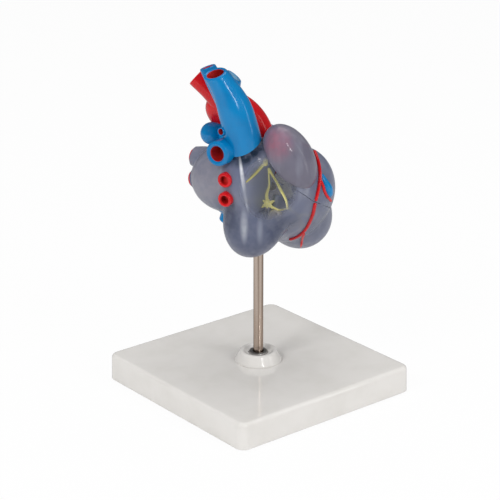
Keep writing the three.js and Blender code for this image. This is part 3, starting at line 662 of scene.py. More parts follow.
# the flat cut end of the left branch is a paler grey-blue than the vessel
cut_blue = painted("pale_blue_cut_end", (120, 168, 196), (96, 146, 180), 0.5, 0.0, 0.02)
nerve_yellow = painted("nerve_yellow_paint", (255, 248, 168), (250, 236, 134), 0.4, 0.1, glow=0.16)
valve_cream = painted("valve_cream_plastic", (226, 220, 204), (206, 198, 178), roughness=0.35, coat=0.2)
white_plastic = painted("white_gloss_plastic", (236, 233, 229), (230, 227, 222), 0.16, 0.6, 0.03)
print("finishes so far:", len(bpy.data.materials))

# %% [markdown]
# ## Metal, rubber and clear socket
#
# The rod was drawn through a die and polished, so a fine grain runs along it, and its strong light and
# dark streaks along its length are painted reflections. Fine rings run round the turned ferrule. Noise
# stretched along one axis gives both: it is cheaper than an anisotropic gloss. The feet are matt rubber,
# and the rod's sleeve is frosted clear plastic.

# %% Finishes of the stand
def steel(name, colour, dark, roughness, grain_size, stretch):
    """Metal with a grain: noise drawn out along the way in which it was worked sets its gloss and relief
    and mixes its two colours; on the rod the colours lie far apart, and their streaks are painted
    reflections.
    """
    finish = Finish(name)
    grain = finish.cloud(grain_size, stretch=stretch)
    smear = finish.cloud(7)
    body = finish.blend(finish.ramp(grain, 0.36, 0.64), shade(*colour), shade(*dark))
    gloss = roughness + 0.1 * (grain - 0.5) + 0.1 * (smear - 0.5)
    return finish.surface(Base_Color=body, Roughness=gloss, Metallic=1.0,
                          Normal=finish.bump(grain, 0.05, 0.1))


def frosted(name):
    """Cover and roughness follow one noise: 0.35 + 0.2 (mist - 0.5) and 0.3 + 0.2 (mist - 0.5)."""
    finish = Finish(name)
    mist = finish.cloud(6)
    return finish.surface(Base_Color=shade(150, 155, 170), Alpha=0.35 + 0.2 * (mist - 0.5),
                          Roughness=0.3 + 0.2 * (mist - 0.5), IOR=1.49)


def rubber(name):
    """Two near blacks mixed by a fine noise, which also roughens and dents the surface."""
    finish = Finish(name)
    speck = finish.cloud(0.8, detail=4)
    body = finish.blend(speck, shade(34, 34, 36), shade(52, 52, 54))
    return finish.surface(Base_Color=body, Roughness=0.8 + 0.15 * (speck - 0.5),
                          Normal=finish.bump(speck, 0.4, 0.2))


# the rod's strong light and dark streaks are painted reflections over its drawn grain
rod_steel = steel("rod_drawn_steel_painted_streaks", (214, 196, 182), (142, 122, 108), 0.2, 2.6, (1, 1, 0.01))
bright_steel = steel("bright_nickel_steel", (228, 226, 222), (200, 198, 196), 0.32, 0.9, (0.05, 0.05, 1))
socket_clear = frosted("socket_frosted_plastic")
foot_rubber = rubber("foot_black_rubber")
print("finishes:", len(bpy.data.materials))

# %% [markdown]
# ## The heart wall
#
# Each wall is grown from the middle of its own region out to the seam: a ray turns step by step from the
# middle direction to each direction of the seam. The skin goes over a small rounded rim there, and comes
# back on the inside of the plastic, which has its own finish. Solidify would thicken a single skin too,
# but it leaves a square rim, and a moulding's rim is round.

# %% Shells grown from a middle direction
ROUND_STEPS = 6


def shell_skin(origin, radius_at, pole, edge, thickness, rows, gap, rim):
    """Rings at even turns between pole and edge, sin((1-t)w) pole + sin(t w) edge over sin w, on the
    outside, then a quarter circle, a flat rim, a quarter circle, and the inside."""
    wide = np.arccos(edge @ pole)
    far = wide * radius_at(edge)
    turn = np.linspace(0, math.pi / 2, ROUND_STEPS)
    share = np.concatenate([np.linspace(0.01, 0.985, rows), np.ones(2 * ROUND_STEPS),
                            np.linspace(0.98, 0.01, rows // 2)])
    flat = np.full(rows, rim)
    back = np.concatenate([flat, rim * (1 - np.sin(turn)), rim * (1 - np.cos(turn)), flat[::2]])
    drop = rim * (1 - np.cos(turn))
    drop = np.concatenate([0 * flat, drop, thickness - drop[::-1], 0 * flat[::2] + thickness])
    t = share[:, None] * (1 - (gap + back[:, None]) / far)
    rays = np.sin((1 - t) * wide)[..., None] * pole + np.sin(t * wide)[..., None] * edge
    rays = unit(rays)
    rings = origin + rays * (radius_at(rays) - drop[:, None])[..., None]
    return skin(rings, lining_from=rows + ROUND_STEPS)


def with_finish(piece_skin, number):
    """The same skin, all in one of the object's finishes."""
    return (*piece_skin[:3], np.full(len(piece_skin[3]), number))


# %% Furrows under the coronary vessels, and the two walls
RIGHT_FURROW = [(29, 24), (31.6, 18), (32, 10), (29.9, -2.2), (24.6, -17), (17, -22)]
FRONT_FURROW = [(-6, 22), (-8, 12), (-5, -2), (0, -15), (5, -27)]
LEFT_FURROW = [(-12, 12), (-9, 2), (-1, -3), (6, -9), (13, -9)]
GROOVES += [
    (from_right.on_wall(line(RIGHT_FURROW, 40)), 0.9, 3.2),
    (from_front.on_wall(line(FRONT_FURROW, 40)), 0.8, 3.0),
    (from_left.on_wall(line(LEFT_FURROW, 30)), 0.8, 3.0),
]
front_skin = shell_skin(HEART_MIDDLE, wall_radius, front_middle, seam, WALL, rows=100, gap=0.08, rim=0.25)
rear_skin = shell_skin(HEART_MIDDLE, wall_radius, -front_middle, seam, WALL, rows=150, gap=0.08, rim=0.25)
print("wall grids, front and rear:", len(front_skin[0]), len(rear_skin[0]), "points")

# %% [markdown]
# ## Walls between the chambers
#
# Flat plates part the atria from the ventricles and from each other. Each plate starts at a place in its
# plane, and every spoke of the plane runs out until it meets the heart wall or another plate. A Boolean
# could trim a large plate to the heart instead; the spokes need no second mesh and can't fail.

# %% Plates inside the wall
VALVE_PLANE = ((12, 0, 118), (0.8, 0.45, -0.4))
ATRIAL_PLANE = ((4, 4, 119), (0.75, -0.66, 0))
SEPTUM_PLANE = ((14, 4, 104), (0.62, -0.77, 0.15))
SEPTUM_HALF = 2.25
SEAM_CLEAR = 0.4
FREE_GAP = 0.3  # the septum is a piece of its own and keeps clear of the wall and of the valve plate
PLATE_ROWS, PLATE_SPOKES = 24, 180


def side_of(plane, points):
    """Distance from a plane, positive on the side that it faces."""
    point, facing = plane
    return (points - np.array(point)) @ unit(facing)


def plate_skin(plane, half, room_left):
    """Spokes in the plane run to where room_left first falls below 0; rings go out on one face, round
    the edge and back on the other."""
    point, facing = plane
    facing = unit(facing)
    first = unit(np.cross(facing, (0, 0, 1)))
    a = angles(PLATE_SPOKES)[:, None]
    spokes = np.cos(a) * first + np.sin(a) * np.cross(facing, first)
    runs = np.linspace(0.4, 60, 500)
    left = room_left(np.array(point) + spokes * runs[:, None, None])
    far = runs[np.argmax(left < 0, axis=0)]
    far = (np.roll(far, 1) + far + np.roll(far, -1)) / 3
    share = np.concatenate([np.linspace(0.02, 1, PLATE_ROWS), np.linspace(1, 0.02, PLATE_ROWS)])
    lift = np.repeat([half, -half], PLATE_ROWS)
    rings = spokes * (share[:, None] * far)[..., None] + facing * lift[:, None, None]
    return skin(np.array(point) + rings)


def behind_seam(points):
    """How far points lie behind the seam, less the clearance that a plate keeps there."""
    return -SEAM_CLEAR - past_seam(points)


half_wall = WALL / 2
valve_plate = plate_skin(VALVE_PLANE, half_wall, lambda p: np.minimum(room(p) - WALL, behind_seam(p)))
atrial_plate = plate_skin(ATRIAL_PLANE, half_wall, lambda p: np.minimum(
    np.minimum(room(p) - WALL, -side_of(VALVE_PLANE, p) - half_wall), behind_seam(p)))
septum_skin = plate_skin(SEPTUM_PLANE, SEPTUM_HALF, lambda p: np.minimum(
    np.minimum(room(p) - WALL - FREE_GAP, side_of(VALVE_PLANE, p) - half_wall - FREE_GAP), behind_seam(p)))
print("plate grids:", [len(plate[0]) for plate in (valve_plate, atrial_plate, septum_skin)], "points")

# %% [markdown]
# ## Magnets and pins at the seam
#
# Two pairs of small magnets hold the front wall and two pins guide it. They are the CAD model's own
# pieces. Each needs a boss of clear plastic to sit in; it is a short rounded tube, half on each wall,
# placed by the middle of the CAD node, so that it can't miss what it holds.

# %% Bosses round the magnets and pins
BOSS_RADIUS, BOSS_GAP = 3.4, 0.2
MAGNET_BOSS, PIN_BOSS = 5.0, 6.0  # how far a boss reaches from the seam
PULL_LEAN = math.radians(8)
seam_normal = unit(from_right.at(7.1, 10.8) - from_right.at(0, 0))
pull = unit(from_right.at(math.cos(PULL_LEAN), math.sin(PULL_LEAN)) - from_right.at(0, 0))
bosses = []
for side_name in ("right", "left"):
    magnet_middle = (node_middle(f"rear_magnet_{side_name}") + node_middle(f"front_magnet_{side_name}")) / 2
    for middle, axis, reach_out in ((magnet_middle, seam_normal, MAGNET_BOSS),
                                    (node_middle(f"locating_pin_{side_name}"), pull, PIN_BOSS)):
        ends = [[middle + axis * side * BOSS_GAP, middle + axis * side * reach_out] for side in (-1, 1)]
        bosses.append([tube(end, [BOSS_RADIUS], side=(0.3, 1, 0.2), steps=24, around=36) for end in ends])
print("bosses:", len(bosses))

# %% Both walls with what is moulded on them
VEIN_ROOTS = [  # the clear stumps that the left lung veins stand on
    [(-22, 14, 124), (-28, 18, 126), (-34.6, 21.6, 127)],
    [(-24, 14, 117), (-34.6, 19.4, 114.9)],
]
rear_parts = [rear_skin, with_finish(valve_plate, 2), with_finish(atrial_plate, 2)]
rear_parts += [with_finish(rear_end, 1) for rear_end, _ in bosses]
rear_parts += [with_finish(vessel(root, [10.5, 7.6, 5.5], (0, 0, 1), 1.3, 8), 0) for root in VEIN_ROOTS]
rear_wall = mesh_object("rear_wall", rear_parts, wall_outside, wall_inside, plate_finish)
settle(rear_wall, "heart", "heart_wall", "rear_shell")
front_parts = [front_skin] + [with_finish(front_end, 1) for _, front_end in bosses]
front_cover = mesh_object("front_cover", front_parts, wall_outside, wall_inside)
settle(front_cover, "front", "heart_wall", "front_wall")
septum = mesh_object("septum_plate", [septum_skin], plate_finish)
settle(septum, "heart", "heart_wall", "ventricular_septum")

# %% [markdown]
# ## Great vessels
#
# The great vessels were moulded, painted and glued on. Each is a tube with a rounded open rim and a dark
# red bore. Where a vessel stands on the heart, its foot is let into the thickness of the clear wall, so
# that nothing of it shows inside. A Boolean could cut the foot off at the wall; here the points that lie
# too deep slide out along their own rays, which keeps the rings whole.

# %% Vessels that stand on the wall
FOOT_DEPTH = 1.3


def rested(rings, sink):
    """Points more than sink inside the heart wall move out along their own rays until they are not."""
    away = rings - HEART_MIDDLE
    distance = np.linalg.norm(away, axis=-1, keepdims=True)
    deep = wall_radius(away / distance)[..., None] - distance - sink
    return rings + away / distance * np.maximum(deep, 0)


def standing(piece_skin, floor=-0.4):
    """The outside stands FOOT_DEPTH deep in the wall; the bore ends just above it, so its floor shows."""
    verts, quads, tris, slots = piece_skin
    lined = np.zeros(len(verts), bool)
    lined[quads[slots[:len(quads)]]] = True
    lined[tris[slots[len(quads):]]] = True
    return rested(verts, np.where(lined, floor, FOOT_DEPTH)[:, None]), quads, tris, slots


# %% The superior vena cava, its left branch, a second branch behind it and the azygos opening
CAVA_CAP = unit((-0.3, -0.22, 0.92))
cava_route = [(-6.8, -8.8, 134), (-8.4, -10.4, 146), (-11, -11, 158), (-14.5, -11, 168), (-20, -11, 178.5),
              (-22.4, -11, 181.8)]
cava_radii = [10.3, 10.1, 9.5, 9.0, 7.4, 6.1]
left_branch = vessel([(-15, -7, 168), (-14.4, -5, 174), (-13, -3, 178.6)], [6.5, 5.4, 4.4], (0, 1, 0),
                     0.7, 0.6, (0.59, -0.02, 0.8))
cava = mesh_object("superior_cava", [
    standing(vessel(cava_route, cava_radii, (0, 1, 0), 1.8, 30, CAVA_CAP, steps=120)),
    (*left_branch[:3], left_branch[3] * 2),
    vessel([(-12, -10, 156), (-17.4, -6, 167), (-23.4, -1.5, 176.5), (-26.7, 1, 182.2)], [6.5, 6, 5.2, 4.3],
           (0, 1, 0), 1.3, 6, (-0.35, 0.1, 0.93)),
    vessel([(-14.5, -11, 151), (-19.8, -14.8, 152)], [2.3, 2.2], (0, 0, 1), 0.6, 3, (-0.6, -0.75, 0.1),
           steps=30, around=32),
], vein_blue, bore_red, cut_blue)
settle(cava, "heart", "vein_blue", "superior_vena_cava")

# %% The aorta with the three branches of its arch
aorta_route = [(1.5, 6, 132), (-0.5, 5.6, 146.4), (-8, 6, 157.2), (-16, 8, 161), (-21.2, 11.5, 158),
               (-17.8, 14, 149)]
aorta_radii = [8, 8, 8, 7.5, 7.2, 6.8]
aorta = mesh_object("aortic_arch", [
    standing(vessel(aorta_route, aorta_radii, (0.3, 0, 1), 2.2, 14, steps=130)),
    vessel([(-16, 8, 157), (-25, 9, 167), (-33, 11, 174.2)], [7.0, 5.4, 5.0], (0, 1, 0), 1.3, 12),
    vessel([(-16, 9, 160), (-17.6, 10.6, 167), (-19, 12, 174)], [4.2, 3.5, 3.4], (0, 1, 0), 1.3, 8),
    vessel([(-12, 6, 160), (-12.8, 7, 167), (-13.5, 8, 173)], [4.2, 3.5, 3.4], (0, 1, 0), 1.3, 8),
], artery_red, bore_red)
settle(aorta, "heart", "artery_red", "aorta")

# %% The arteries to the lungs and the veins from them
trunk_route = [(19, 8, 126), (15, 13, 132), (8.5, 19, 137), (-5, 19, 141), (-17, 11, 143),
               (-30.5, 4.3, 145.5)]
trunk_radii = [7.2, 7.2, 7.2, 6.6, 6.2, 6.0]
trunk = mesh_object("lung_trunk", [
    standing(tube(trunk_route, trunk_radii, (0.2, 0, 1), 120, 64)),
    tube([(-10, 13, 143), (-15, 4, 143.5), (-18, -3, 143.5)], [5.2, 5.2, 5.4], (0, 0, 1), 50, 48),
], vein_blue)
settle(trunk, "heart", "vein_blue", "pulmonary_trunk")

lung_artery = mesh_object("right_lung_artery", [
    vessel([(-12, -7.6, 142), (-14, -9.5, 141.6), (-21.4, -17.7, 141)], [6.9, 6.9, 6.8], (0, 0, 1), 2.8, 7,
           (-0.55, -0.83, 0)),
], vein_blue, bore_red)
settle(lung_artery, "heart", "vein_blue", "right_pulmonary_artery")

LUNG_VEINS = {  # root, mouth, radius
    "right_upper": ((-12, -9, 127.5), (-18, -20, 127), 4.0),
    "right_lower": ((-12, -9, 117), (-17.9, -20, 116.2), 4.0),
    "left_upper": ((-25, 16, 126), (-35.2, 22, 127.1), 4.4),
    "left_lower": ((-27, 15, 116.5), (-35.6, 20, 114.6), 4.4),
}
for place_name, (root, mouth, wide) in LUNG_VEINS.items():
    stub = standing(vessel([root, mouth], [wide, wide], (0, 0, 1), 1.8, 5, steps=50, around=56))
    lung_vein = mesh_object(f"{place_name}_lung_vein", [stub], artery_red, bore_red)
    settle(lung_vein, "heart", "artery_red", f"{place_name}_pulmonary_vein")

# %% The inferior vena cava, whose bore is as deep in the wall as its foot
lower_cava_skin = standing(vessel([(-10, 3, 110), (-14.5, 2.5, 96)], [7, 7], (0, 1, 0), 2.2, 8),
                           floor=FOOT_DEPTH)
lower_cava = mesh_object("lower_cava", [lower_cava_skin], vein_blue, bore_red)
settle(lower_cava, "heart", "vein_blue", "inferior_vena_cava")

# %% [markdown]
# ## Auricles
#
# An auricle is a thin ear of clear plastic that lies on the heart. It could be one more lobe of the wall,
# but on the real model it has an edge and is thinner and clearer. So it is part of a leaning ellipsoid,
# grown from its outermost direction until it meets the heart wall or a great vessel.

# %% Ears grown from their outermost direction
EAR_WALL = 2.0
EAR_DIRECTIONS = 180
EAR_SMOOTHING = 9  # neighbouring directions over which an ear's edge is averaged
EAR_TOUCH = -0.2  # the depth in other things at which an ear ends; below 0 it is a small gap


def tube_room(points, route, radii):
    """How deep points lie inside a tube, measured to the nearest of its rings."""
    path = line(route, 60)
    apart = np.linalg.norm(points[..., None, :] - path, axis=-1)
    return (spread(radii, 60) - apart).max(axis=-1)


def ear_skin(lobe, pole, blocked):
    """A shell of the ellipsoid |M r| = 1. In each direction round the pole it ends at the first lean at
    which blocked, the depth inside other things, passes EAR_TOUCH."""
    centre, half, lean = lobe
    centre, matrix = np.array(centre, float), lean_matrix(lean)

    def radius_at(rays):
        """The distance from the centre to the ellipsoid along each ray."""
        return 1 / np.linalg.norm(rays @ matrix / np.array(half), axis=-1)

    pole = unit(pole)
    first = unit(np.cross(pole, (0.3, 0.2, 1)))
    a = angles(EAR_DIRECTIONS)[:, None]
    sideways = np.cos(a) * first + np.sin(a) * np.cross(pole, first)
    leans = np.linspace(0.05, 3.05, 240)[:, None, None]
    rays = np.cos(leans) * pole + np.sin(leans) * sideways
    hit = blocked(centre + rays * radius_at(rays)[..., None]) > EAR_TOUCH
    lean_at = leans[np.argmax(hit, axis=0), 0, 0]
    wrapped = np.concatenate([lean_at[-(EAR_SMOOTHING // 2):], lean_at, lean_at[:EAR_SMOOTHING // 2]])
    lean_at = np.convolve(wrapped, np.full(EAR_SMOOTHING, 1 / EAR_SMOOTHING), "valid")
    edge = np.cos(lean_at)[:, None] * pole + np.sin(lean_at)[:, None] * sideways
    return shell_skin(centre, radius_at, pole, edge, EAR_WALL, rows=70, gap=0, rim=0.4)


def by_right_ear(points):
    """How deep points lie in the wall, the rising aorta or the superior vena cava, whichever is most."""
    aorta_room = tube_room(points, aorta_route[:4], aorta_radii[:4])
    cava_room = tube_room(points, cava_route[:4], cava_radii[:4])
    return np.maximum(room(points), np.maximum(aorta_room, cava_room))


def by_left_ear(points):
    """How deep points lie in the wall or the trunk to the lungs, whichever is more."""
    return np.maximum(room(points), tube_room(points, trunk_route[:5], trunk_radii[:5]))


# %% Both ears
right_ear = ear_skin(RIGHT_AURICLE, (0.45, -0.75, 0.5), by_right_ear)
left_ear = ear_skin(LEFT_AURICLE, (-0.3, 1, 0.1), by_left_ear)
right_auricle = mesh_object("right_ear", [right_ear], auricle_outside, wall_inside)
settle(right_auricle, "front", "heart_wall", "right_auricle")
left_auricle = mesh_object("left_ear", [left_ear], auricle_outside, wall_inside)
settle(left_auricle, "heart", "heart_wall", "left_auricle")

# %% [markdown]
# ## Coronary vessels
#
# Thin arteries and veins lie on the wall. Each is drawn in a view from one side, thrown onto the wall
# along the line of sight, and thins towards its end. They could be painted on, but on the real model
# they stand out from the wall and catch the light. The seam parts three of them.

# %% Vessels laid on the wall
LAID_STEPS = 160
SHORTEST_RUN = 16  # a scrap of a vessel beside the seam with no more steps than this is left out
WALL_SAMPLE = 2.5  # millimetres between the places that are thrown onto the wall
WIDE_VEIN = 2  # from this radius on, a vein is sunk in the wall and shows as a flat swelling
THIN_RISE, WIDE_RISE = 0.35, -0.75  # the height of the middle line over the wall, in radii
SEAM_GAP = 0.25  # millimetres that a parted vessel keeps from the seam
VIEW_SIDE = (0.2, 0.3, 1)  # the side direction of the rings of thin tubes


def laid(view, places, radii, keep=None):
    """Tubes whose middle line lies THIN_RISE or WIDE_RISE mean radii over the wall. The line is thrown
    onto the wall every WALL_SAMPLE mm and smoothed between. keep picks a side of the seam, and each run
    of kept points is a tube."""
    flat = line(places, 100)
    count = max(5, round(run_length(flat) / WALL_SAMPLE))
    points = line(view.on_wall(flat[np.linspace(0, 99, count).astype(int)]), LAID_STEPS)
    radii = spread(radii, LAID_STEPS)
    rise = (THIN_RISE if radii.max() < WIDE_VEIN else WIDE_RISE) * radii.mean()
    kept = np.ones(LAID_STEPS, bool) if keep is None else keep(points)
    points = points + unit(points - HEART_MIDDLE) * rise
    runs = np.split(np.arange(LAID_STEPS), np.nonzero(np.diff(kept))[0] + 1)
    return [tube(points[run], radii[run], side=VIEW_SIDE, steps=max(30, len(run)), around=24)
            for run in runs if kept[run[0]] and len(run) > SHORTEST_RUN]


def on_front(points):
    """Which points lie on the front wall, SEAM_GAP or more from the seam."""
    return past_seam(points) > SEAM_GAP


def on_rear(points):
    """Which points lie on the rear wall, SEAM_GAP or more from the seam."""
    return past_seam(points) < -SEAM_GAP


# %% The coronary arteries and veins
right_coronary = [(29.5, 25.1), (31.6, 18), (32.2, 12.1), (31.5, 5), (29.9, -2.2), (28.5, -9), (24.6, -17.1),
                  (20.5, -20.5), (16.5, -21.9)]
left_anterior = [(-5, 25.5), (-6, 22), (-8, 12), (-5, -2), (0, -15), (5, -27)]
great_vein = [(3.5, 23.5), (0, 19), (-3, 10), (0, -3), (5, -14), (9, -24)]
coronary_table = [  # piece, body, slot, node, view, places, radii, side of the seam
    ("right_coronary_rear", "heart", "artery_red", "right_coronary_artery",
     from_right, right_coronary, [0.95, 0.95, 0.8], on_rear),
    ("right_coronary_front", "front", "artery_red", "front_right_coronary",
     from_right, right_coronary, [0.95, 0.9, 0.85], on_front),
    ("marginal_branch", "heart", "artery_red", "marginal_artery",
     from_right, [(24.2, -18.6), (23.6, -22.5), (23.2, -26)], [0.85, 0.7, 0.5], None),
    ("conus_branch", "front", "artery_red", "conus_artery",
     from_right, [(32.2, 9.4), (33.4, 7.6), (35.4, 2), (38.6, -1.6)], [0.8, 0.75, 0.7], None),
    ("anterior_vein", "front", "vein_blue", "anterior_cardiac_vein",
     from_right, [(33.6, 15.8), (36, 9.5), (39.6, 1.2)], [0.9, 2.0, 3.2, 2.4], None),
    ("left_anterior_rear", "heart", "artery_red", "left_anterior_artery",
     from_front, left_anterior, [1.05, 1.0, 0.8], on_rear),
    ("left_anterior_front", "front", "artery_red", "front_left_anterior",
     from_front, left_anterior, [1.05, 1.05, 1.0], on_front),
    ("circumflex_branch", "heart", "artery_red", "circumflex_artery",
     from_left, [(-12, 12), (-9, 2), (-1, -3), (6, -9)], [1.0, 1.0, 0.8], None),
    ("great_vein_rear", "heart", "vein_blue", "great_cardiac_vein",
     from_front, great_vein, [1.15, 1.1, 0.8], on_rear),
    ("great_vein_front", "front", "vein_blue", "front_great_vein",
     from_front, great_vein, [1.15, 1.15, 1.1], on_front),
    ("coronary_sinus_vein", "heart", "vein_blue", "coronary_sinus",
     from_left, [(4, -2), (9, -5), (13, -9)], [1.3, 1.7, 1.5], None),
]
for piece, body, slot, node, view, places, radii, keep in coronary_table:
    paint = artery_red if slot == "artery_red" else vein_blue
    settle(mesh_object(piece, laid(view, places, radii, keep), paint), body, slot, node)

# %% [markdown]
# ## Conducting system
#
# The yellow fibres start at the sinus node, run down the far wall of the right atrium to the node above
# the valve, and go on through the wall as a bundle that forks on both faces of the septum. They are drawn
# in the view from the right, like the coronary vessels, and thrown onto the inner walls. Curve objects
# could follow the same places, but the far wall has to be found first, and the formula finds it.

# %% Fibres on the inner walls
def in_atrium(places, off=0.6):
    """Where a line of sight through the right atrium meets its far wall, less off millimetres."""
    places = np.asarray(places, float)
    points = from_right.at(places[:, :1], places[:, 1:], SIGHT_DEPTHS[None])
    hollow = np.minimum(room(points) - WALL, -side_of(VALVE_PLANE, points) - half_wall)
    hollow = np.minimum(hollow, side_of(ATRIAL_PLANE, points) - half_wall)
    last = hollow.shape[1] - 1 - np.argmax(hollow[:, ::-1] > 0, axis=1)
    last = np.where((hollow > 0).any(axis=1), last, np.argmax(hollow, axis=1))
    return from_right.at(places[:, 0], places[:, 1], SIGHT_DEPTHS[last] - off)


def tract(places, radii):
    """A flattened fibre through places of the view; its path is found at 24 places and then smoothed."""
    points = in_atrium(line(places, 24))
    points[1:-1] = (points[:-2] + 2 * points[1:-1] + points[2:]) / 4
    return tube(points, radii, side=VIEW_SIDE, steps=90, around=20)


# %% The node shaped like a star
def star(place, size, spikes, first_turn):
    """A flattened bead with tapering spikes: tubes from its middle out to places round about, whose
    turns and distances vary by sines of their number."""
    turns = first_turn + angles(spikes) + 0.25 * np.sin(3 * angles(spikes))
    reach_out = size * (1.55 + 0.35 * np.cos(2.6 * np.arange(spikes)))
    tips = np.array(place) + np.stack([np.cos(turns), np.sin(turns)], axis=1) * reach_out[:, None]
    middle = in_atrium([place], 1.0)[0]
    ends = in_atrium(tips, 0.7)
    bead_ends = [middle - from_right.away * 0.9, middle + from_right.away * 0.4]
    bead = tube(bead_ends, [size * 0.95], (0, 0, 1), 24, 32)
    spike_radii = [size * 0.62, size * 0.42, 0.25]
    return [bead] + [tube([middle, (middle + end) / 2, end], spike_radii, VIEW_SIDE, 30, 16) for end in ends]


# %% The nodes and the three tracts between them
SINUS, POSTERIOR, STAR = (3.7, 19.4), (-6.7, 8.1), (4.9, -2.9)
tract_table = {  # places in the view from the right, radii
    "posterior_tract": ([(2.6, 18), (-1.6, 13), POSTERIOR], [0.9, 0.7, 0.4]),
    "middle_tract": ([(5.4, 16), (5.6, 11), (5.8, 7), (4.4, 2), (4.8, -1.6)], [0.5, 0.4, 0.5, 0.8, 0.9]),
    "anterior_tract": ([(5.2, 16.2), (8.5, 11), (12, 4), (14.6, -1.5), (15.4, -6.5)],
                       [0.75, 0.6, 0.75, 0.7, 0.5]),
}
for name, (places, radii) in tract_table.items():
    piece = mesh_object(name.replace("tract", "fibre"), [tract(places, radii)], nerve_yellow)
    settle(piece, "heart", "nerve_yellow", name)
sinus_middle = in_atrium([SINUS], 0.9)[0]
half_bead = np.array([0, 0, 2.4])
sinus_skin = tube([sinus_middle + half_bead, sinus_middle - half_bead], [0.9, 1.3, 1.0], (0, 1, 0), 40, 32)
sinus_bead = mesh_object("sinus_bead", [sinus_skin], nerve_yellow)
settle(sinus_bead, "heart", "nerve_yellow", "sinus_node")
star_node = mesh_object("star_node", star(STAR, size=2.1, spikes=9, first_turn=0.4), nerve_yellow)
settle(star_node, "heart", "nerve_yellow", "atrioventricular_node")

# %% The bundle and its branches on both faces of the septum
FIBRE_DEPTH = WALL + 1.4
FIBRE_LIFT = 0.7  # from the septum's face up to the fibres' middle line
septum_face = unit(SEPTUM_PLANE[1])
septum_down = np.array([8.0, 18, -22])
septum_down = unit(septum_down - septum_down @ septum_face * septum_face)
septum_across = np.cross(septum_face, septum_down)


def on_septum(places, off):
    """Places along and across the septum's plane, off millimetres from it: point + a down + b across +
    off face."""
    places = np.asarray(places, float)
    return (np.array(SEPTUM_PLANE[0]) + places[:, :1] * septum_down + places[:, 1:] * septum_across
            + off * septum_face)


def held_inside(points):
    """Points less than FIBRE_DEPTH deep in the heart move towards its middle until they are that deep."""
    away = points - HEART_MIDDLE
    distance = np.linalg.norm(away, axis=-1, keepdims=True)
    too_far = np.minimum(wall_radius(away / distance)[..., None] - FIBRE_DEPTH - distance, 0)
    return points + away / distance * too_far


bundle_route = np.concatenate([in_atrium([(7.4, -4.9), (8.2, -5.2), (10.5, -6.4)], 0.8),
                               on_septum([(1, 0)], SEPTUM_HALF + 1.0)])
bundle = mesh_object("bundle_fibre", [tube(bundle_route, [0.6, 0.5, 0.5])], nerve_yellow)
settle(bundle, "heart", "nerve_yellow", "bundle_of_his")
TWIGS = [  # places along and across the septum, radii
    ([(1, 0), (6, 0.8), (9, 1), (14, 0), (20, -1.5)], [0.9, 0.8, 0.5]),
    ([(9, 1), (13, 4.5), (17, 6), (19.5, 6.2)], [0.75, 0.6, 0.35]),
    ([(12, 0.2), (16, -4), (19, -6.5), (21, -9)], [0.7, 0.55, 0.35]),
    ([(14, 4.9), (17.5, 9.5), (19, 12)], [0.5, 0.4, 0.3]),
]
for node, off in (("right_bundle_branch", SEPTUM_HALF + FIBRE_LIFT),
                  ("left_bundle_branch", -SEPTUM_HALF - FIBRE_LIFT)):
    fibres = [tube(held_inside(on_septum(line(places, 30), off)), radii, VIEW_SIDE, 70, 18)
              for places, radii in TWIGS]
    piece = mesh_object(node.replace("branch", "fibres"), fibres, nerve_yellow)
    settle(piece, "heart", "nerve_yellow", node)

# %% [markdown]
# ## Valves
#
# The two valves between atria and ventricles are soft cream plastic: a ring with a funnel of leaves whose
# free edges dip and rise. They could be cut from a sheet and draped, but they are moulded stiff, so the
# funnel is a turned profile whose radius and depth change with the angle.

# %% Funnels with leaves
def valve_skin(point, radius, depth, leaves):
    """Rings along a profile from the ring's outside down the leaves and back up inside them. The share
    down the leaf times cos(leaves a) moves the edge in and out, and up and down."""
    facing = unit(VALVE_PLANE[1])
    first = unit(np.cross(facing, (0, 0, 1)))
    second = np.cross(facing, first)
    inner = 4.3
    a = angles(96)
    profile = line([(radius, -1.1), (radius, 1.0), (inner, 2.2), (inner * 0.66, depth),
                    (inner * 0.6, depth + 0.1), (inner * 0.56, depth - 0.2), (inner - 0.9, 1.6),
                    (inner, -0.4), (inner + 0.5, -1.2)], 90)
    down = np.clip((profile[:, 1] - 1.5) / (depth - 1.5), 0, 1) ** 1.5
    wave = down[:, None] * np.cos(leaves * a)
    r = profile[:, :1] * (1 + 0.35 * wave)
    high = profile[:, 1:] - 0.3 * depth * down[:, None] * (1 - np.cos(leaves * a)) / 2
    round_about = np.cos(a)[:, None] * first + np.sin(a)[:, None] * second
    return skin(np.array(point) + r[..., None] * round_about + high[..., None] * facing, loop=True)


VALVES = {  # middle, ring radius, depth, number of leaves
    "tricuspid_valve": ((8.4, -8, 100.1), 6.2, 6.0, 3),
    "mitral_valve": ((2.1, 14, 114), 6.5, 7.0, 2),
}
for node, sizes in VALVES.items():
    piece = mesh_object(node.replace("valve", "funnel"), [valve_skin(*sizes)], valve_cream)
    settle(piece, "heart", "valve_cream", node)

# %% [markdown]
# ## Turned parts of the stand
#
# The rod, its collar, the ferrule and the feet are turned about an upright axis. Each is a profile of
# radius and height, with small rounds at its corners, carried round in a circle. A Screw modifier on a
# line would do the same; here the profile and its rounds stay numbers that can be read.

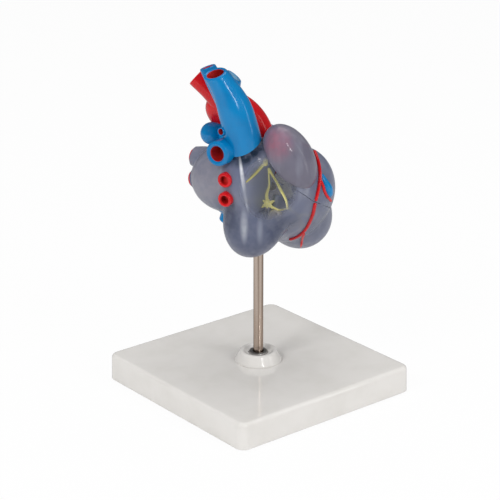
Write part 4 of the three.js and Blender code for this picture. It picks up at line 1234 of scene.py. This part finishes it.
# %% Profiles and turned parts
def eased(profile, rounds, closed=False, steps=6):
    """A profile whose corners become short curves (1-t)^2 a + 2t(1-t) corner + t^2 b."""
    corners = np.asarray(profile, float)
    rounds = np.broadcast_to(rounds, len(corners))[:, None]
    before, after = np.roll(corners, 1, axis=0) - corners, np.roll(corners, -1, axis=0) - corners
    size_b = np.linalg.norm(before, axis=1, keepdims=True)
    size_a = np.linalg.norm(after, axis=1, keepdims=True)
    start = corners + before / size_b * np.minimum(rounds, 0.49 * size_b)
    end = corners + after / size_a * np.minimum(rounds, 0.49 * size_a)
    t = np.linspace(0, 1, steps)[None, :, None]
    curves = (1 - t) ** 2 * start[:, None] + 2 * t * (1 - t) * corners[:, None] + t**2 * end[:, None]
    if not closed:
        curves[0], curves[-1] = corners[0], corners[-1]
    return curves.reshape(-1, 2)


def lathe(profile, around=128, at=(0, 0), loop=False):
    """Rings of radius r and height z about an upright axis: x + r cos a, y + r sin a, z."""
    a = angles(around)
    r, z = np.asarray(profile, float).T[:, :, None]
    x, y = at[0] + r * np.cos(a), at[1] + r * np.sin(a)
    return skin(np.stack([x, y, z + 0 * x], axis=-1), loop=loop)


# %% Rod, collar and ferrule
AXIS = 0.02  # the innermost radius of a solid part, so that its last ring isn't a point
ROD, ROD_FOOT, ROD_TOP = 2.75, 1.6, 100
BORE = 3.05  # the hole for the rod
BASE_TOP = 15.4
rod_profile = eased([(AXIS, ROD_FOOT), (ROD, ROD_FOOT), (ROD, ROD_TOP), (AXIS, ROD_TOP)], [0, 0.5, 0.8, 0])
rod = mesh_object("support_rod", [lathe(rod_profile, 96)], rod_steel, by_heart=False)
settle(rod, "rod", "stand_steel", "stand_rod")

collar_profile = [(5.4, 0), (13.1, 0), (13.0, 0.8), (11.6, 3.2), (10.3, 5.6), (9.3, 6.0), (8.2, 5.8),
                  (6.8, 4.8), (5.4, 4.6)]
collar_profile = eased(collar_profile, [0.1, 0.3, 0.5, 1.0, 0.7, 0.5, 0.6, 0.8, 0.2], closed=True)
collar = mesh_object("white_collar", [lathe(collar_profile + (0, BASE_TOP), loop=True)], white_plastic,
                     by_heart=False)
settle(collar, "base", "white_plastic", "rod_collar")

ferrule_profile = eased([(BORE, 0), (5.2, 0), (5.2, 5.1), (4.8, 5.6), (3.4, 5.6), (BORE, 5.3)],
                        [0.1, 0.1, 0.3, 0.3, 0.2, 0.2], closed=True)
ferrule = mesh_object("chrome_ferrule", [lathe(ferrule_profile + (0, BASE_TOP), loop=True)], bright_steel,
                      by_heart=False)
settle(ferrule, "base", "stand_steel", "collar_ferrule")

# %% Feet and the sleeve for the rod
FOOT_PLACES = [(46, 46), (-46, 46), (-46, -46), (46, -46)]
foot_profile = eased([(AXIS, 0), (5.0, 0), (5.5, 0.6), (5.5, 3.6), (AXIS, 3.6)], [0, 0.6, 0.3, 0.3, 0])
for number, (x, y) in enumerate(FOOT_PLACES, start=1):
    foot = mesh_object(f"foot_{number}", [lathe(foot_profile, 64, at=(x, y))], foot_rubber, by_heart=False)
    settle(foot, "base", "foot_rubber", f"rubber_foot_{number}")

SOCKET_END = 100.3  # just above the rod's top
socket_profile = eased([(BORE, 81), (4.6, 81), (5.0, 81.5), (5.0, 102.8), (4.6, 103.3), (AXIS, 103.3)],
                       [0.1, 0.3, 0.3, 0.3, 0.5, 0])
socket_profile = np.concatenate([[(AXIS, SOCKET_END), (BORE, SOCKET_END)], socket_profile])
socket = mesh_object("clear_socket", [lathe(socket_profile, 96)], socket_clear, by_heart=False)
settle(socket, "heart", "socket_plastic", "rod_socket")

# %% [markdown]
# ## The white base
#
# The base is one moulding: a square block with soft edges and nearly upright sides, hollow underneath,
# with crossed ribs and a boss for the rod. A bevelled cube has such edges too, but no thin wall with a
# rounded rim. So its outline, a rounded square, is carried from the middle of the top over the edge,
# down, round the rim and up inside.

# %% A rounded square carried along a profile
BASE_HALF, BASE_CORNER = 60.0, 5.0
CORNER_STEPS = 14


def square_rings(inset, high):
    """Rounded squares of half side BASE_HALF - inset: each corner is a quarter circle of radius
    BASE_CORNER - 0.55 inset, at least 0.6."""
    a = np.linspace(0, math.pi / 2, CORNER_STEPS) + np.arange(4)[:, None] * math.pi / 2
    sx = np.array([1, -1, -1, 1])[:, None]
    sy = np.array([1, 1, -1, -1])[:, None]
    radius = np.clip(BASE_CORNER - inset * 0.55, 0.6, BASE_CORNER)[:, None, None]
    outer = np.maximum(BASE_HALF - inset, 0.7)[:, None, None]
    radius = np.minimum(radius, outer * 0.9)
    x = (sx * (outer - radius) + radius * np.cos(a)).reshape(len(inset), -1)
    y = (sy * (outer - radius) + radius * np.sin(a)).reshape(len(inset), -1)
    return np.stack([x, y, high[:, None] + 0 * x], axis=-1)


CEILING, RIM = 12.4, 0.4  # heights of the hollow's ceiling and of the lower rim
ROUND_ROWS = 14  # rows on each rounded corner of the outline
outline = eased([(59.5, BASE_TOP), (0.3, BASE_TOP), (0, RIM), (3.0, RIM), (4.6, CEILING), (59.5, CEILING)],
                [0, 2.4, 0.4, 0.4, 1.2, 0], steps=ROUND_ROWS)
top_rows = np.linspace(59.3, 6.5, 14)
inner_rows = np.linspace(7.0, 59.3, 10)
edge_rows = outline[ROUND_ROWS:-ROUND_ROWS]
inset = np.concatenate([top_rows, edge_rows[:, 0], inner_rows])
high = np.concatenate([0 * top_rows + BASE_TOP, edge_rows[:, 1], 0 * inner_rows + CEILING])
block = skin(square_rings(inset, high))
print("base block:", len(block[0]), "points")


# %% Ribs, the boss for the rod and the pads of the feet
def bar_skin(half_long, half_wide, low, high, along_x):
    """A straight rib: a thin rectangle carried from its lower edge to its top."""
    x = np.array([1, 1, -1, -1]) * (half_long if along_x else half_wide)
    y = np.array([-1, 1, 1, -1]) * (half_wide if along_x else half_long)
    return skin([np.stack([x, y, np.full(4, z)], axis=-1) for z in np.linspace(low, high, 4)])


RIB_TOP = 12.9  # ribs, boss and pads end a little way into the plate above the ceiling
RIB_LONG, RIB_HALF, RIB_LOW = 56.5, 1.0, 5.9
boss_profile = eased([(BORE, 6.1), (8.5, 6.1), (8.5, RIB_TOP), (BORE, RIB_TOP)], 0.3, closed=True)
pad_profile = eased([(AXIS, 3.7), (7.5, 3.7), (7.5, RIB_TOP), (AXIS, RIB_TOP)], 0.2)
underside = [bar_skin(RIB_LONG, RIB_HALF, RIB_LOW, RIB_TOP, along_x) for along_x in (True, False)]
underside += [lathe(boss_profile, 96, loop=True)]
underside += [lathe(pad_profile, 48, at=place) for place in FOOT_PLACES]
base = mesh_object("square_base", [block] + underside, white_plastic, by_heart=False)
settle(base, "base", "white_plastic", "base_plate")

# %% [markdown]
# ## Small parts kept from the CAD model
#
# The nut and washer under the base, the magnets and the pins have the right shape already. They could be
# made again, but small flat-sided parts gain nothing from it. They stay, and take the bright metal finish.

# %% Finishes for the kept parts
kept_nodes = ["rod_nut", "rod_washer", "rear_magnet_right", "rear_magnet_left", "front_magnet_right",
              "front_magnet_left", "locating_pin_right", "locating_pin_left"]
for name in kept_nodes:
    for material_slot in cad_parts[name].material_slots:
        material_slot.material = bright_steel
print("kept from the CAD model:", len(kept_nodes))

# %% [markdown]
# ## Camera
#
# The photograph looks slightly down on the right side of the heart, from far off with a long lens. The
# viewpoint was fitted to the corners of the base. A camera could be placed by eye and tracked to an
# empty; here its place is the target plus one metre backwards along its line of sight.

# %% The photograph's viewpoint
AZIMUTH, ELEVATION = math.radians(-39.1), math.radians(20.69)
LENS_MM, SENSOR_MM = 132.3, 36
TARGET_HIGH, TARGET_ASIDE = 0.0803, -0.0046  # up from the table, and to the camera's right
camera_right = np.array([math.cos(AZIMUTH), math.sin(AZIMUTH), 0])
camera_back = np.array([math.sin(AZIMUTH) * math.cos(ELEVATION), -math.cos(AZIMUTH) * math.cos(ELEVATION),
                        math.sin(ELEVATION)])
target = np.array([0, 0, TARGET_HIGH]) + TARGET_ASIDE * camera_right


def looking(thing, place, at):
    """Puts a camera or lamp at a place, its -Z towards another."""
    direction = Vector(at) - Vector(place)
    thing.location = place
    thing.rotation_euler = direction.to_track_quat("-Z", "Y").to_euler()
    bpy.context.scene.collection.objects.link(thing)


lens = bpy.data.cameras.new("photo_lens")
lens.lens, lens.sensor_width = LENS_MM, SENSOR_MM
camera = bpy.data.objects.new("photo_camera", lens)
looking(camera, target + camera_back, target)
bpy.context.scene.camera = camera
bpy.context.scene.view_settings.view_transform = "Standard"
print("camera at", np.array(camera.location).round(3))

# %% [markdown]
# ## Light, floor and backdrop
#
# The photograph is a cut-out on white, with soft light from above and from both sides and hardly any
# shadow. An image of a studio would light it too, but plain lamps are easier to set: three large soft
# ones give the light at a plain level, two small windows give the short highlights on vessels and
# plastic, and a faint strip gives the long one beside them. Light Path makes the floor and the world
# white to the camera, and dimmer in gloss, so that the clear walls keep their dark edges.

# %% Lamps
LIGHT_AIM = np.array([0, 0, 0.04])  # from the camera's target up to the middle of the heart


def lamp(name, right, up, back, wide, high, watts, diffuse=True, gloss=True):
    """A rectangular lamp placed by steps from the heart: to the camera's right, up and back, in metres.
    It may light the surfaces, show in their gloss, or both."""
    light = bpy.data.lights.new(name, "AREA")
    light.shape, light.size, light.size_y, light.energy = "RECTANGLE", wide, high, watts
    place = target + LIGHT_AIM + right * camera_right + up * np.array([0, 0, 1]) + back * camera_back
    stand = bpy.data.objects.new(name, light)
    stand.visible_diffuse, stand.visible_glossy = diffuse, gloss
    looking(stand, place, target + LIGHT_AIM)


lamp("key", -0.6, 0.4, 0.7, 0.4, 0.4, 4.8, gloss=False)
lamp("fill", 0.75, 0.25, 0.6, 0.5, 0.5, 3.4, gloss=False)
lamp("top", 0.1, 1.0, -0.25, 0.6, 0.6, 2.2)
lamp("front_window", 0.36, 0.25, 0.85, 0.14, 0.14, 0.7, diffuse=False)
lamp("low_window", 0.44, 0.03, 0.85, 0.12, 0.12, 0.6, diffuse=False)
lamp("right_strip", 0.3, 0.0, 0.1, 0.03, 0.3, 0.08, diffuse=False)
print("lamps:", [light.name for light in bpy.data.lights])


# %% Floor and world
def ray_kinds(finish):
    """1 for rays from the camera and for rays in gloss, else 0, by name."""
    return {name: finish.node("LightPath", output=f"Is {name} Ray") for name in ("Camera", "Glossy")}


PAPER, PAPER_DIM = 0.9, 0.22  # the floor's grey, and how much darker it is in gloss
PAPER_GLOW = 0.95  # the share of plain white that the camera sees; the rest is lit paper with its shadow
SKY_LIGHT, SKY_DIM = 0.45, 0.35  # the light from all round, and how much of it gloss doesn't see
WHITE = (1, 1, 1, 1)
floor_finish = Finish("paper_floor")
path = ray_kinds(floor_finish)
pale = floor_finish.node("CombineColor", {}, {i: PAPER - PAPER_DIM * path["Glossy"] for i in range(3)})
diffuse = floor_finish.node("BsdfDiffuse", {}, {"Color": pale})
glow = floor_finish.node("Emission", {}, {"Color": WHITE, "Strength": 1.0})
mixed = floor_finish.node("MixShader", {}, {0: PAPER_GLOW * path["Camera"], 1: diffuse, 2: glow})
floor_finish.node("OutputMaterial", {}, {"Surface": mixed})
FLOOR_HALF = 4  # metres from the middle of the floor to its sides
floor_mesh = bpy.data.meshes.new("floor")
floor_corners = [(FLOOR_HALF * x, FLOOR_HALF * y, 0) for x, y in ((-1, -1), (1, -1), (1, 1), (-1, 1))]
floor_mesh.from_pydata(floor_corners, [], [(0, 1, 2, 3)])
floor_mesh.materials.append(floor_finish.holder)
floor = bpy.data.objects.new("floor", floor_mesh)
bpy.context.scene.collection.objects.link(floor)

sky = Finish("studio", bpy.data.worlds.new("studio"))
path = ray_kinds(sky)
level = SKY_LIGHT + (1 - SKY_LIGHT) * path["Camera"] - SKY_DIM * path["Glossy"]
background = sky.node("Background", {}, {"Color": WHITE, "Strength": level})
sky.node("OutputWorld", {}, {"Surface": background})
bpy.context.scene.world = sky.holder
print("stage:", floor.name, "and world:", sky.holder.name)
